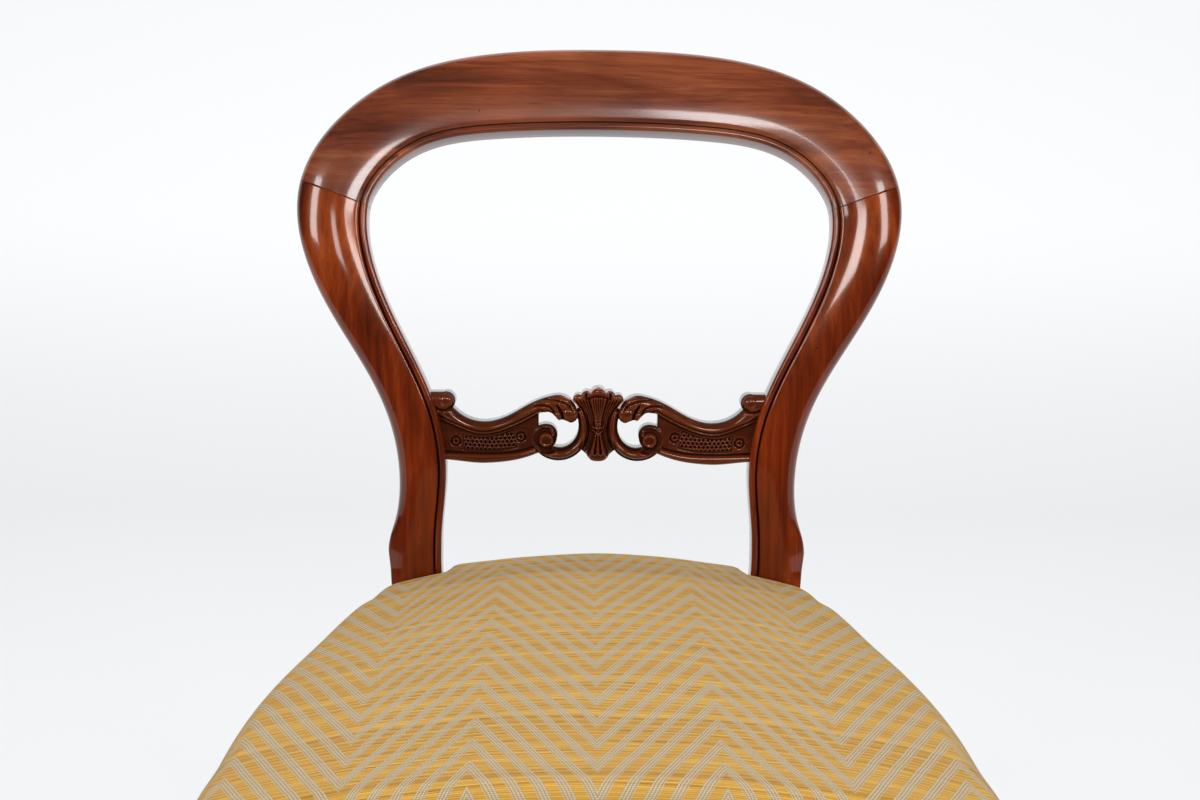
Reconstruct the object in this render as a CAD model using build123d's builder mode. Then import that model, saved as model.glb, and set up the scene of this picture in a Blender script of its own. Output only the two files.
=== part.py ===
"""Balloon back dining chair: a moulded balloon back with a carved and pierced mid rail, swept
rear legs, turned front legs and a stuff-over seat.

Millimetres, +Z up. X runs across the chair, -Y is the front. The origin is on the floor, below the
middle of the chair's footprint. Plan sizes are measured forwards (-Y) or backwards (+Y) from the
front face of the back posts at seat level, which stands at Y = POST_Y.
"""

import os
from math import atan2, cos, pi, radians, sin, sqrt, tan

from build123d import *

os.makedirs("parts", exist_ok=True)

# ---------------------------------------------------------------------------------------------
# Driving sizes
# ---------------------------------------------------------------------------------------------

# The balloon, seen from the front: its centre line passes the middle of the crest, the widest
# point of the shoulders and the narrow waist over the seat.
TOTAL_HEIGHT = 850.5
CREST_WIDTH = 61.5
SHOULDER_X = 196.4
SHOULDER_Z = 731.0
SHOULDER_WIDTH = 52.8
ARM_WIDTH = 37.0
WAIST_X = 129.8
WAIST_Z = 544.0
WAIST_WIDTH = 35.8
KNUCKLE_X = 135.8
KNUCKLE_Z = 481.0
KNUCKLE_WIDTH = 39.8

# The rake: the posts stand upright to RAKE_START, then lean back along an arc. The lean puts the
# crest's highest point behind its front edge and CREST_LEAN below it.
RAKE_START = 523.7
RAKE_RADIUS = 807.5
CREST_LEAN = 3.6

# Section of the back frame
FRAME_DEPTH = 27.0
BEAD = 5.2
QUIRK = 1.0
BEAD_SUNK = 1.1
FACE_CROWN = 2.6
FACE_FLAT = 10.0
OUTER_ROUND = 11.0
ROUND_FACETS = 3
BACK_BEVEL = 5.0

# Shoulder joints between the crest rail and the posts
JOINT_SLANT = 8.0
JOINT_DOWEL_RADIUS = 5.0
JOINT_DOWEL_LENGTH = 50.0

# Back posts at the seat and the rear legs under it
POST_INNER_X = 116.0
POST_WIDTH = 37.0
KNUCKLE_RUN_OUT = 28.0
REAR_LEG_TOP = 345.0
REAR_FOOT_WIDTH = 27.0
REAR_FOOT_DEPTH = 27.0
REAR_FOOT_SWEEP = 78.0
REAR_FOOT_X = 136.0

# Carved mid rail: the relief sizes say how far each form stands behind the rail's front plane
MID_RAIL_Z = 548.7
MID_RAIL_SETBACK = 4.0
MID_RAIL_DEPTH = 20.0
MID_RAIL_HEIGHT = 57.0
MID_RAIL_END = 14.0
PANEL_SUNK = 3.4
SCROLL_SUNK = 0.8
SHELL_PROUD = 1.0
VOLUTE_RADIUS = 5.9
VOLUTE_X = 37.6
VOLUTE_Z = 18.7
PETAL_LENGTH = 27.0
PETAL_WIDTH = 6.6
PETAL_SHORTENING = 3.5
PETAL_FAN = 29.0
PETAL_ROOT = 29.0
FLUTE_LENGTH = 21.6
FLUTE_WIDTH = 5.3
FLUTE_FAN = 22.0
FLUTE_ROOT = 26.0
BOSS_RADIUS = 4.6
MID_TENON_HEIGHT = 24.0
MID_TENON_DEPTH = 9.0
MID_TENON_LENGTH = 16.0
MID_TENON_ROOT = 4.0
MID_TENON_RISE = 0.42

# Seat frame
RAIL_TOP = 425.0
RAIL_HEIGHT = 60.0
SIDE_RAIL_THICKNESS = 26.0
FRONT_RAIL_DEPTH = 39.0
REAR_RAIL_THICKNESS = 22.0
RAIL_TENON_LENGTH = 18.0
RAIL_TENON_THICKNESS = 10.0
RAIL_TENON_HEIGHT = 40.0

# Plan of the seat frame's outside: half widths at its middle and front, and its front. At the back
# its sides run out flush with the posts.
FRAME_MIDDLE_HALF = 190.0
FRAME_FRONT_HALF = 208.0
FRAME_FRONT = 378.0
FRAME_CORNER_RADIUS = 34.0
SEAT_BACK = 30.0
SEAT_MIDDLE = 150.0
FRONT_BOW = 20.0
REAR_CORNER_RADIUS = 24.0
LEAST_CORNER_RADIUS = 2.0

# How far the pad stands out past the frame at its widest, at the same places
PAD_BACK_OVERHANG = 22.0
PAD_MIDDLE_OVERHANG = 13.5
PAD_FRONT_OVERHANG = 14.0
PAD_CORNER_GROWTH = 12.0

# Upholstery
CROWN_RISE = 65.5
CROWN_RADIUS_ACROSS = 560.0
CROWN_PITCH = 3.2
PAD_WIDEST_RISE = 8.0
PAD_UPPER_SWELL = 0.5
PAD_EDGE_EASE = 14.0
PAD_HEM = 12.0
COVER_THICKNESS = 1.3
COVER_TURN_UNDER = 15.0
HESSIAN_THICKNESS = 0.9
WEBBING_THICKNESS = 1.6
WEBBING_WIDTH = 50.0
WEBBING_EDGE_MARGIN = 8.0
LONG_STRAP_PITCH = 78.0
CROSS_STRAP_PITCH = 84.0
STRAP_EASE = 3.0
STRAP_SLOPE = 8.0

# Front legs
LEG_BLOCK = 46.0
LEG_SIDE_INSET = 24.0
LEG_FRONT_INSET = 37.0
LEG_COLLAR_RADIUS = 22.5
LEG_NECK_RADIUS = 15.0
LEG_BODY_RADIUS = 22.0
LEG_ANKLE_RADIUS = 12.0
LEG_RING_RADIUS = 16.5
LEG_FOOT_RADIUS = 11.0
LEG_RING_Z = 52.0
LEG_RING_HEIGHT = 11.0
LEG_NECK_RING_HEIGHT = 13.2
LEG_RING_FLAT = 0.4
LEG_FOOT_SWELL = 1.6
LEG_BODY_SWELL = 1.2
LEG_SHOULDER_SWELL = 1.9
LEG_BODY_Z = 285.0
LEG_COLLAR_HEIGHT = 10.0
LEG_NECK_HEIGHT = 24.0

# Corner blocks
BRACE_LEG = 62.0
BRACE_HEIGHT = 34.0

# Clearances
GLUE_GAP = 0.05
CLOTH_GAP = 0.3

# How far a cut runs on past the piece that it cuts
CUT_MARGIN = 20.0

# ---------------------------------------------------------------------------------------------
# Places that follow from the sizes
# ---------------------------------------------------------------------------------------------

PAD_FRONT = FRAME_FRONT + PAD_FRONT_OVERHANG
FRONT_RAIL_INNER = FRAME_FRONT - FRONT_RAIL_DEPTH
LEG_X = FRAME_FRONT_HALF - LEG_SIDE_INSET
LEG_FORWARD = FRAME_FRONT - LEG_FRONT_INSET
POST_Y = (PAD_FRONT - REAR_FOOT_SWEEP - REAR_FOOT_DEPTH) / 2
CREST_Z = TOTAL_HEIGHT + CREST_LEAN - CREST_WIDTH / 2
RAIL_BOTTOM = RAIL_TOP - RAIL_HEIGHT
CROWN_TOP = RAIL_TOP + CROWN_RISE
PAD_WIDEST_Z = RAIL_TOP + PAD_WIDEST_RISE
HESSIAN_Z = RAIL_TOP + 2 * WEBBING_THICKNESS + 2 * CLOTH_GAP
STUFFING_Z = HESSIAN_Z + HESSIAN_THICKNESS + CLOTH_GAP


def level(z):
    """Horizontal plane at height z, with its origin on the line of the posts' front faces."""
    return Plane(origin=(0, POST_Y, z), x_dir=(1, 0, 0), z_dir=(0, 0, 1))


# ---------------------------------------------------------------------------------------------
# The balloon frame
# ---------------------------------------------------------------------------------------------

# Right half of the frame's centre line, from the middle of the crest down to the knuckle over the
# seat. Each station is (x, z, width of the frame there), seen from the front.
joint_station = (SHOULDER_X - 0.6, SHOULDER_Z + 15, SHOULDER_WIDTH + 1.6)
stations = [
    (0, CREST_Z, CREST_WIDTH),
    (SHOULDER_X - 116, CREST_Z - 3.3, CREST_WIDTH - 1.2),
    (SHOULDER_X - 57, CREST_Z - 16.7, CREST_WIDTH - 5),
    (SHOULDER_X - 24, SHOULDER_Z + 53.6, SHOULDER_WIDTH + 2.6),
    joint_station,
    (SHOULDER_X - 2.2, SHOULDER_Z - 20, SHOULDER_WIDTH - 3.2),
    (WAIST_X + 42.2, WAIST_Z + 112.4, ARM_WIDTH + 3.2),
    (WAIST_X + 22.3, WAIST_Z + 76, ARM_WIDTH - 0.4),
    (WAIST_X + 7.1, WAIST_Z + 40.7, WAIST_WIDTH + 0.8),
    (WAIST_X, WAIST_Z, WAIST_WIDTH),
    (KNUCKLE_X - 2.4, KNUCKLE_Z + 18, KNUCKLE_WIDTH - 3.4),
    (KNUCKLE_X, KNUCKLE_Z, KNUCKLE_WIDTH),
]
centre_line = Spline(*stations, tangents=[(1, 0, 0), (0.05, -1, 0)])
joint_at = centre_line.param_at_point(joint_station)


def rake(z):
    """How far the back's front face stands behind the posts' front face at height z."""
    rise = max(0.0, z - RAKE_START)
    return RAKE_RADIUS - sqrt(RAKE_RADIUS**2 - rise**2)


def rake_slope(z):
    """Slope of the raked face at height z: backwards per upwards."""
    rise = max(0.0, z - RAKE_START)
    return rise / sqrt(RAKE_RADIUS**2 - rise**2)


def rib_plane(at, side=1, slant=0.0):
    """Plane of the frame's section at the parameter `at` of the centre line, and the section's
    width. The plane's X points out of the balloon and its Y points backwards."""
    x, z, width = centre_line @ at
    along_x, along_z, _ = centre_line % at
    outward = atan2(along_x, -along_z) + radians(slant)
    slope = rake_slope(z)
    across = Vector(side * cos(outward), sin(outward) * slope, sin(outward))
    backward = Vector(0, 1, -slope).normalized()
    origin = (side * x, POST_Y + rake(z), z)
    plane = Plane(origin=origin, x_dir=across, z_dir=across.cross(backward))
    return plane, width * across.length / cos(radians(slant))


def between(start, end, steps):
    """Evenly spaced parameters from start to end, both included."""
    return [start + (end - start) * i / steps for i in range(steps + 1)]


def rib(plane, width):
    """Moulded section of the back frame: a bead and quirk along the inner edge, a crowned face, a
    broad outer round and bevelled back edges, all in flat facets."""
    inner = -width / 2
    outer = width / 2
    bead_end = inner + BEAD
    face_start = bead_end + QUIRK
    face_end = outer - OUTER_ROUND
    face_middle = (face_start + face_end) / 2
    round_turns = between(0, pi / 2, ROUND_FACETS)
    outer_round = [
        (face_end + OUTER_ROUND * sin(turn), FACE_CROWN + OUTER_ROUND * (1 - cos(turn)))
        for turn in round_turns
    ]
    with BuildSketch(plane, mode=Mode.PRIVATE) as section:
        with BuildLine():
            Polyline(
                (inner, FRAME_DEPTH - BACK_BEVEL),
                (inner, BEAD_SUNK + BEAD / 2),
                (inner + BEAD / 3, BEAD_SUNK),
                (bead_end - BEAD / 3, BEAD_SUNK),
                (bead_end, FACE_CROWN + QUIRK),
                (face_start, FACE_CROWN),
                (face_middle - FACE_FLAT / 2, 0),
                (face_middle + FACE_FLAT / 2, 0),
                *outer_round,
                (outer, FRAME_DEPTH - BACK_BEVEL),
                (outer - BACK_BEVEL, FRAME_DEPTH),
                (inner + BACK_BEVEL, FRAME_DEPTH),
                close=True,
            )
        make_face()
    return section.sketch


def joint_or_square(at, side):
    """Plane and width of a rib: on the slant at a shoulder joint, and square to the line elsewhere."""
    return rib_plane(at, side, JOINT_SLANT if at == joint_at else 0)


crest_half = between(joint_at, 0, 4)
crest_ribs = [(at, 1) for at in crest_half] + [(at, -1) for at in reversed(crest_half[:-1])]

with BuildPart() as crest_rail:
    for at, side in crest_ribs:
        add(rib(*joint_or_square(at, side)))
    loft()


def joint_dowel_place(side):
    """Place of the dowel across a shoulder joint, in the middle of the section."""
    plane, _ = joint_or_square(joint_at, side)
    return plane * Location((0, FRAME_DEPTH / 2, 0))


joint_places = [joint_dowel_place(1), joint_dowel_place(-1)]

with crest_rail:
    with Locations(*joint_places):
        Cylinder(
            JOINT_DOWEL_RADIUS + GLUE_GAP,
            JOINT_DOWEL_LENGTH + 2 * GLUE_GAP,
            mode=Mode.SUBTRACT,
        )

with BuildPart() as crest_joint_dowels:
    with Locations(*joint_places):
        Cylinder(JOINT_DOWEL_RADIUS, JOINT_DOWEL_LENGTH)


# ---------------------------------------------------------------------------------------------
# Back posts: the stile above the seat, the square part in the seat and the swept rear leg
# ---------------------------------------------------------------------------------------------


def sweep_back(z):
    """How far the rear leg stands behind its top at height z."""
    radius = (REAR_LEG_TOP**2 + REAR_FOOT_SWEEP**2) / (2 * REAR_FOOT_SWEEP)
    drop = max(0.0, REAR_LEG_TOP - z)
    return radius - sqrt(radius**2 - drop**2)


def post_slice(z, inner, outer, back):
    """Square section of the post at height z, `back` deep and swept back with the leg."""
    with BuildSketch(level(z), mode=Mode.PRIVATE) as section:
        with Locations(((inner + outer) / 2, sweep_back(z) + back / 2)):
            Rectangle(outer - inner, back)
    return section.sketch


def rear_leg_slice(z):
    """Section of the tapered leg below the seat at height z."""
    taper = (REAR_LEG_TOP - z) / REAR_LEG_TOP
    centre = POST_INNER_X + POST_WIDTH / 2
    centre += (REAR_FOOT_X - centre) * taper
    width = POST_WIDTH + (REAR_FOOT_WIDTH - POST_WIDTH) * taper
    depth = FRAME_DEPTH + (REAR_FOOT_DEPTH - FRAME_DEPTH) * taper
    return post_slice(z, centre - width / 2, centre + width / 2, depth)


post_outer_x = POST_INNER_X + POST_WIDTH
knuckle_inner = KNUCKLE_X - KNUCKLE_WIDTH / 2
knuckle_outer = KNUCKLE_X + KNUCKLE_WIDTH / 2
square_top = KNUCKLE_Z - KNUCKLE_RUN_OUT
mid_rail_lean = rake(MID_RAIL_Z + MID_RAIL_HEIGHT) - rake(MID_RAIL_Z)
mid_rail_plane = Plane(
    origin=(0, POST_Y + rake(MID_RAIL_Z) + MID_RAIL_SETBACK, MID_RAIL_Z),
    x_dir=(1, 0, 0),
    z_dir=(0, -MID_RAIL_HEIGHT, mid_rail_lean),
)


def mid_tenon(side, gap=0.0, mode=Mode.ADD):
    """Tenon of the mid rail in one post, or its mortise: cut with a gap round the tenon."""
    length = MID_TENON_LENGTH + MID_TENON_ROOT
    middle = WAIST_X - WAIST_WIDTH / 2 - MID_TENON_ROOT + length / 2
    place = Location((side * middle, MID_RAIL_HEIGHT * MID_TENON_RISE, -MID_RAIL_DEPTH / 2))
    with Locations(mid_rail_plane * place):
        Box(length + 2 * gap, MID_TENON_HEIGHT + 2 * gap, MID_TENON_DEPTH + 2 * gap, mode=mode)


def rail_tenon(x, y, along_x, gap=0.0, mode=Mode.ADD):
    """Tenon of a seat rail, centred on x, y in plan, or its mortise: cut with a gap round it."""
    length = 2 * RAIL_TENON_LENGTH + 2 * gap
    thickness = RAIL_TENON_THICKNESS + 2 * gap
    size_x, size_y = (length, thickness) if along_x else (thickness, length)
    with Locations(level(RAIL_TOP - RAIL_HEIGHT / 2) * Location((x, y, 0))):
        Box(size_x, size_y, RAIL_TENON_HEIGHT + 2 * gap, mode=mode)


side_tenon_x = post_outer_x - SIDE_RAIL_THICKNESS / 2
rear_tenon_y = REAR_RAIL_THICKNESS / 2

with BuildPart() as right_back_post:
    for at in between(joint_at, 1, 10):
        add(rib(*joint_or_square(at, 1)))
    loft()
    add(post_slice(KNUCKLE_Z, knuckle_inner, knuckle_outer, FRAME_DEPTH))
    add(post_slice(square_top, POST_INNER_X, post_outer_x, FRAME_DEPTH))
    loft()
    add(post_slice(square_top, POST_INNER_X, post_outer_x, FRAME_DEPTH))
    add(post_slice(REAR_LEG_TOP, POST_INNER_X, post_outer_x, FRAME_DEPTH))
    loft()
    for z in between(REAR_LEG_TOP, 0, 3):
        add(rear_leg_slice(z))
    loft()
    with Locations(joint_dowel_place(1)):
        Cylinder(
            JOINT_DOWEL_RADIUS + GLUE_GAP,
            JOINT_DOWEL_LENGTH + 2 * GLUE_GAP,
            mode=Mode.SUBTRACT,
        )
    mid_tenon(1, GLUE_GAP, Mode.SUBTRACT)
    rail_tenon(side_tenon_x, 0, False, GLUE_GAP, Mode.SUBTRACT)
    rail_tenon(POST_INNER_X, rear_tenon_y, True, GLUE_GAP, Mode.SUBTRACT)

# ---------------------------------------------------------------------------------------------
# Carved mid rail. Points are (distance from the middle, height over the rail's lowest edge), for the
# right half; the left half is its mirror image.
# ---------------------------------------------------------------------------------------------

rail_reach = WAIST_X - WAIST_WIDTH / 2 + MID_RAIL_END


def relief(sunk):
    """Plane in front of which nothing of a form lies: parallel to the rail, `sunk` behind its front."""
    return mid_rail_plane.offset(-sunk)


def upper_scroll(plane):
    """The wide S-scroll along the rail's top, which ends in a curl beside the palmette."""
    with BuildSketch(plane, mode=Mode.PRIVATE) as outline:
        with BuildLine():
            Polyline((rail_reach, 36), (rail_reach, 52.6), (114.9, 52.6))
            ThreePointArc((114.9, 52.6), (106.5, 49.5), (107.4, 41.5))
            Spline((107.4, 41.5), (98.5, 34.3), (85.4, 30.8), (68.3, 34.6), (48.6, 45.4), (33.8, 50.5))
            ThreePointArc((33.8, 50.5), (20, 47.3), (15.3, 37.5))
            ThreePointArc((15.3, 37.5), (16.8, 32.3), (20.6, 30.8))
            ThreePointArc((20.6, 30.8), (25.5, 32.9), (29.1, 32.4))
            ThreePointArc((29.1, 32.4), (32.2, 36.4), (37.0, 38.6))
            Line((37.0, 38.6), (42.7, 38.1))
            Spline((42.7, 38.1), (61.7, 28.0), (88, 21.8), (103, 26.5), (rail_reach, 36))
        make_face()
    return outline.sketch


def panel(plane):
    """The sunk, punched panel between the upper scroll and the lower edge."""
    with BuildSketch(plane, mode=Mode.PRIVATE) as outline:
        with BuildLine():
            Polyline((44, 8), (44, 37), (62, 30), (88, 24), (103, 28), (rail_reach, 38))
            Line((rail_reach, 38), (rail_reach, 3.5))
            Spline((rail_reach, 3.5), (101, 1.2), (88, 0), (74.8, 0.5), (61.6, 2.3), (44, 8))
        make_face()
    return outline.sketch


def lower_border(plane):
    """The raised reed along the rail's lower edge."""
    with BuildSketch(plane, mode=Mode.PRIVATE) as outline:
        with BuildLine():
            Line((44, 8), (46, 13))
            Spline((46, 13), (55, 10.1), (68, 7.9), (84.7, 7.4), (98, 7.7), (rail_reach, 9.4))
            Line((rail_reach, 9.4), (rail_reach, 3.5))
            Spline((rail_reach, 3.5), (101, 1.2), (88, 0), (74.8, 0.5), (61.6, 2.3), (44, 8))
        make_face()
    return outline.sketch


def lower_scroll(plane):
    """The C-scroll round the pierced opening, from the palmette down and out to its volute."""
    with BuildSketch(plane, mode=Mode.PRIVATE) as outline:
        with BuildLine():
            Spline((12.5, 43), (7.4, 31), (7.3, 21.6), (14.4, 8.1), (28.9, 2.3), (44.1, 8.2), (48.8, 19.9))
            ThreePointArc((48.8, 19.9), (44.5, 27.5), (36.5, 29.2))
            ThreePointArc((36.5, 29.2), (30.6, 24.5), (30.4, 19))
            ThreePointArc((30.4, 19), (31.3, 15.6), (33.4, 13.0))
            Spline((33.4, 13.0), (25, 12.4), (16.8, 19), (14.4, 28), (17.5, 40))
            Line((17.5, 40), (12.5, 43))
        make_face()
    return outline.sketch


def palmette(plane):
    """Outline of the shell, its stem and the leaves that join it to the scrolls, whole."""
    with BuildSketch(plane, mode=Mode.PRIVATE) as outline:
        for side in (1, -1):
            with BuildLine():
                ThreePointArc((0, MID_RAIL_HEIGHT), (side * 3.2, 56.4), (side * 5.6, 53.6))
                ThreePointArc((side * 5.6, 53.6), (side * 10.0, 54.2), (side * 12.6, 51.2))
                ThreePointArc((side * 12.6, 51.2), (side * 17.0, 51.3), (side * 18.7, 47.6))
                Line((side * 18.7, 47.6), (side * 12.6, 40.5))
                ThreePointArc((side * 12.6, 40.5), (side * 9.4, 25), (side * 12.8, 11.2))
                Line((side * 12.8, 11.2), (side * 8.4, 7.6))
                ThreePointArc((side * 8.4, 7.6), (side * 5.6, 3.8), (0, 2.6))
                Line((0, 2.6), (0, MID_RAIL_HEIGHT))
            make_face()
    return outline.sketch


def petal(plane, length, width):
    """One lobe of the shell, growing up from the stem at the origin."""
    with BuildSketch(plane, mode=Mode.PRIVATE) as outline:
        with BuildLine():
            Polyline(
                (0, 0),
                (width / 2, length - width * 0.8),
                (width / 4, length),
                (-width / 4, length),
                (-width / 2, length - width * 0.8),
                close=True,
            )
        make_face()
    return outline.sketch


with BuildPart() as right_carving:
    for outline in (upper_scroll, lower_scroll, lower_border):
        extrude(outline(relief(SCROLL_SUNK)), amount=-(MID_RAIL_DEPTH - SCROLL_SUNK))
    extrude(panel(relief(PANEL_SUNK)), amount=-(MID_RAIL_DEPTH - PANEL_SUNK))
    with BuildSketch(relief(0)):
        with Locations((VOLUTE_X, VOLUTE_Z)):
            Circle(VOLUTE_RADIUS)
    extrude(amount=-MID_RAIL_DEPTH)

with BuildPart() as carved_mid_rail:
    extrude(palmette(relief(SCROLL_SUNK)), amount=-(MID_RAIL_DEPTH - SCROLL_SUNK))
    for i in (-2, -1, 0, 1, 2):
        place = relief(-SHELL_PROUD) * Location((0, PETAL_ROOT, 0), (0, 0, i * PETAL_FAN))
        length = PETAL_LENGTH - PETAL_SHORTENING * abs(i)
        extrude(petal(Plane(place), length, PETAL_WIDTH), amount=-MID_RAIL_DEPTH / 2)
    for i in (-1, 0, 1):
        place = relief(-SHELL_PROUD) * Location((0, FLUTE_ROOT, 0), (0, 0, 180 + i * FLUTE_FAN))
        extrude(petal(Plane(place), FLUTE_LENGTH, FLUTE_WIDTH), amount=-MID_RAIL_DEPTH / 2)
    with BuildSketch(relief(-SHELL_PROUD)):
        with Locations((0, (PETAL_ROOT + FLUTE_ROOT) / 2)):
            Circle(BOSS_RADIUS)
    extrude(amount=-MID_RAIL_DEPTH / 2)
    add(right_carving.part)
    add(right_carving.part.mirror(Plane.YZ))
    add(right_back_post.part, mode=Mode.SUBTRACT)
    add(right_back_post.part.mirror(Plane.YZ), mode=Mode.SUBTRACT)
    mid_tenon(1)
    mid_tenon(-1)

# ---------------------------------------------------------------------------------------------
# Plan of the seat
# ---------------------------------------------------------------------------------------------


def frame_half(forward):
    """Half width of the frame's outside at a distance in front of the posts, less its bulge."""
    if forward < SEAT_MIDDLE:
        share = forward / SEAT_MIDDLE
        return post_outer_x + (FRAME_MIDDLE_HALF - post_outer_x) * share
    share = (forward - SEAT_MIDDLE) / (FRAME_FRONT - FRONT_BOW - SEAT_MIDDLE)
    return FRAME_MIDDLE_HALF + (FRAME_FRONT_HALF - FRAME_MIDDLE_HALF) * share


def seat_plan(plane, swell, inset=0.0):
    """The seat's outline: the frame's outside at swell 0, the pad at its widest at swell 1."""
    back = post_outer_x + swell * PAD_BACK_OVERHANG - inset
    middle = FRAME_MIDDLE_HALF + swell * PAD_MIDDLE_OVERHANG - inset
    front = FRAME_FRONT_HALF + swell * PAD_FRONT_OVERHANG - inset
    front_y = inset - FRAME_FRONT - swell * PAD_FRONT_OVERHANG
    corner_y = front_y + FRONT_BOW
    back_y = SEAT_BACK - inset
    front_radius = max(FRAME_CORNER_RADIUS + swell * PAD_CORNER_GROWTH - inset, LEAST_CORNER_RADIUS)
    rear_radius = max(REAR_CORNER_RADIUS - inset, LEAST_CORNER_RADIUS)
    with BuildSketch(plane, mode=Mode.PRIVATE) as plan:
        with BuildLine():
            side = ThreePointArc((back, 0), (middle, -SEAT_MIDDLE), (front, corner_y))
            flare = (side % 0).X / (side % 0).Y
            back_end = back + back_y * flare
            Line((back_end, back_y), (back, 0))
            ThreePointArc((front, corner_y), (0, front_y), (-front, corner_y))
            ThreePointArc((-front, corner_y), (-middle, -SEAT_MIDDLE), (-back, 0))
            Line((-back, 0), (-back_end, back_y))
            Line((-back_end, back_y), (back_end, back_y))
        make_face()
        fillet(plan.vertices().sort_by(Axis.Y)[:2], front_radius)
        fillet(plan.vertices().sort_by(Axis.Y)[-2:], rear_radius)
    return plan.sketch


def plan_box(low, high, bottom, top):
    """Plain box between two plan corners, for cutting pieces out of the seat's plan."""
    with BuildPart(mode=Mode.PRIVATE) as block:
        with BuildSketch(level(bottom)):
            with Locations(((low[0] + high[0]) / 2, (low[1] + high[1]) / 2)):
                Rectangle(high[0] - low[0], high[1] - low[1])
        extrude(amount=top - bottom)
    return block.part


# ---------------------------------------------------------------------------------------------
# Seat frame
# ---------------------------------------------------------------------------------------------

block_inner_x = LEG_X - LEG_BLOCK / 2
block_back_y = -LEG_FORWARD + LEG_BLOCK / 2
wide = FRAME_FRONT_HALF + PAD_FRONT_OVERHANG + CUT_MARGIN
deep = PAD_FRONT + CUT_MARGIN
back = SEAT_BACK + CUT_MARGIN

with BuildPart() as frame_solid:
    extrude(seat_plan(level(RAIL_BOTTOM), 0), amount=RAIL_HEIGHT)

with BuildPart() as frame_inside:
    extrude(seat_plan(level(RAIL_BOTTOM), 0, SIDE_RAIL_THICKNESS), amount=RAIL_HEIGHT)

front_tenon_y = -(FRAME_FRONT + FRONT_RAIL_INNER) / 2 + FRONT_BOW / 2

with BuildPart() as front_rail:
    add(plan_box((-block_inner_x, -deep), (block_inner_x, -FRONT_RAIL_INNER), RAIL_BOTTOM, RAIL_TOP))
    add(frame_solid.part, mode=Mode.INTERSECT)
    for side in (-1, 1):
        rail_tenon(side * block_inner_x, front_tenon_y, True)

with BuildPart() as right_side_rail:
    add(plan_box((0, block_back_y), (wide, 0), RAIL_BOTTOM, RAIL_TOP))
    add(frame_solid.part, mode=Mode.INTERSECT)
    add(frame_inside.part, mode=Mode.SUBTRACT)
    rail_tenon(side_tenon_x, 0, False)
    rail_tenon(LEG_X, block_back_y, False)

with BuildPart() as left_side_rail:
    add(right_side_rail.part.mirror(Plane.YZ))

with BuildPart() as rear_rail:
    add(plan_box((-POST_INNER_X, 0), (POST_INNER_X, REAR_RAIL_THICKNESS), RAIL_BOTTOM, RAIL_TOP))
    for side in (-1, 1):
        rail_tenon(side * POST_INNER_X, rear_tenon_y, True)

# ---------------------------------------------------------------------------------------------
# Front legs: a square block in the seat frame, a collar, a vase-shaped shaft, an ankle ring and a
# peg foot
# ---------------------------------------------------------------------------------------------


def ring(groove_radius, ring_radius, z, height):
    """Profile of a turned ring that stands up from groove_radius to a flat at ring_radius."""
    flat = height * LEG_RING_FLAT / 2
    middle = z + height / 2
    return [
        (groove_radius, z),
        (ring_radius, middle - flat),
        (ring_radius, middle + flat),
        (groove_radius, z + height),
    ]


def swollen(low, high, swell):
    """Middle of a turned stretch between two points that is `swell` fuller than a straight taper."""
    return (low[0] + high[0]) / 2 + swell, (low[1] + high[1]) / 2


collar_z = RAIL_BOTTOM - LEG_COLLAR_HEIGHT
neck_z = collar_z - LEG_NECK_HEIGHT
foot = (LEG_FOOT_RADIUS, 0)
ankle = (LEG_ANKLE_RADIUS, LEG_RING_Z)
over_ankle = (LEG_ANKLE_RADIUS, LEG_RING_Z + LEG_RING_HEIGHT)
body = (LEG_BODY_RADIUS, LEG_BODY_Z)
neck = (LEG_NECK_RADIUS, neck_z)
leg_axis_y = POST_Y - LEG_FORWARD

with BuildPart() as front_right_leg:
    with BuildSketch(Plane.XZ, mode=Mode.PRIVATE) as turning:
        with BuildLine():
            Polyline(
                (0, 0),
                foot,
                swollen(foot, ankle, LEG_FOOT_SWELL),
                *ring(LEG_ANKLE_RADIUS, LEG_RING_RADIUS, LEG_RING_Z, LEG_RING_HEIGHT),
                swollen(over_ankle, body, LEG_BODY_SWELL),
                body,
                swollen(body, neck, LEG_SHOULDER_SWELL),
                *ring(LEG_NECK_RADIUS, LEG_BODY_RADIUS, neck_z, LEG_NECK_RING_HEIGHT),
                (LEG_COLLAR_RADIUS, collar_z),
                (LEG_COLLAR_RADIUS, RAIL_BOTTOM),
                (0, RAIL_BOTTOM),
                close=True,
            )
        make_face()
    add(Pos(LEG_X, leg_axis_y, 0) * revolve(turning.sketch, Axis.Z, mode=Mode.PRIVATE))
    front, outside = -LEG_FORWARD - LEG_BLOCK / 2, LEG_X + LEG_BLOCK / 2
    top_block = plan_box((block_inner_x, front), (outside, block_back_y), RAIL_BOTTOM, RAIL_TOP)
    add(top_block.intersect(frame_solid.part))
    rail_tenon(block_inner_x, front_tenon_y, True, GLUE_GAP, Mode.SUBTRACT)
    rail_tenon(LEG_X, block_back_y, False, GLUE_GAP, Mode.SUBTRACT)

# ---------------------------------------------------------------------------------------------
# Upholstery
# ---------------------------------------------------------------------------------------------

seat_centre_y = -(PAD_FRONT - SEAT_BACK) / 2


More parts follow.
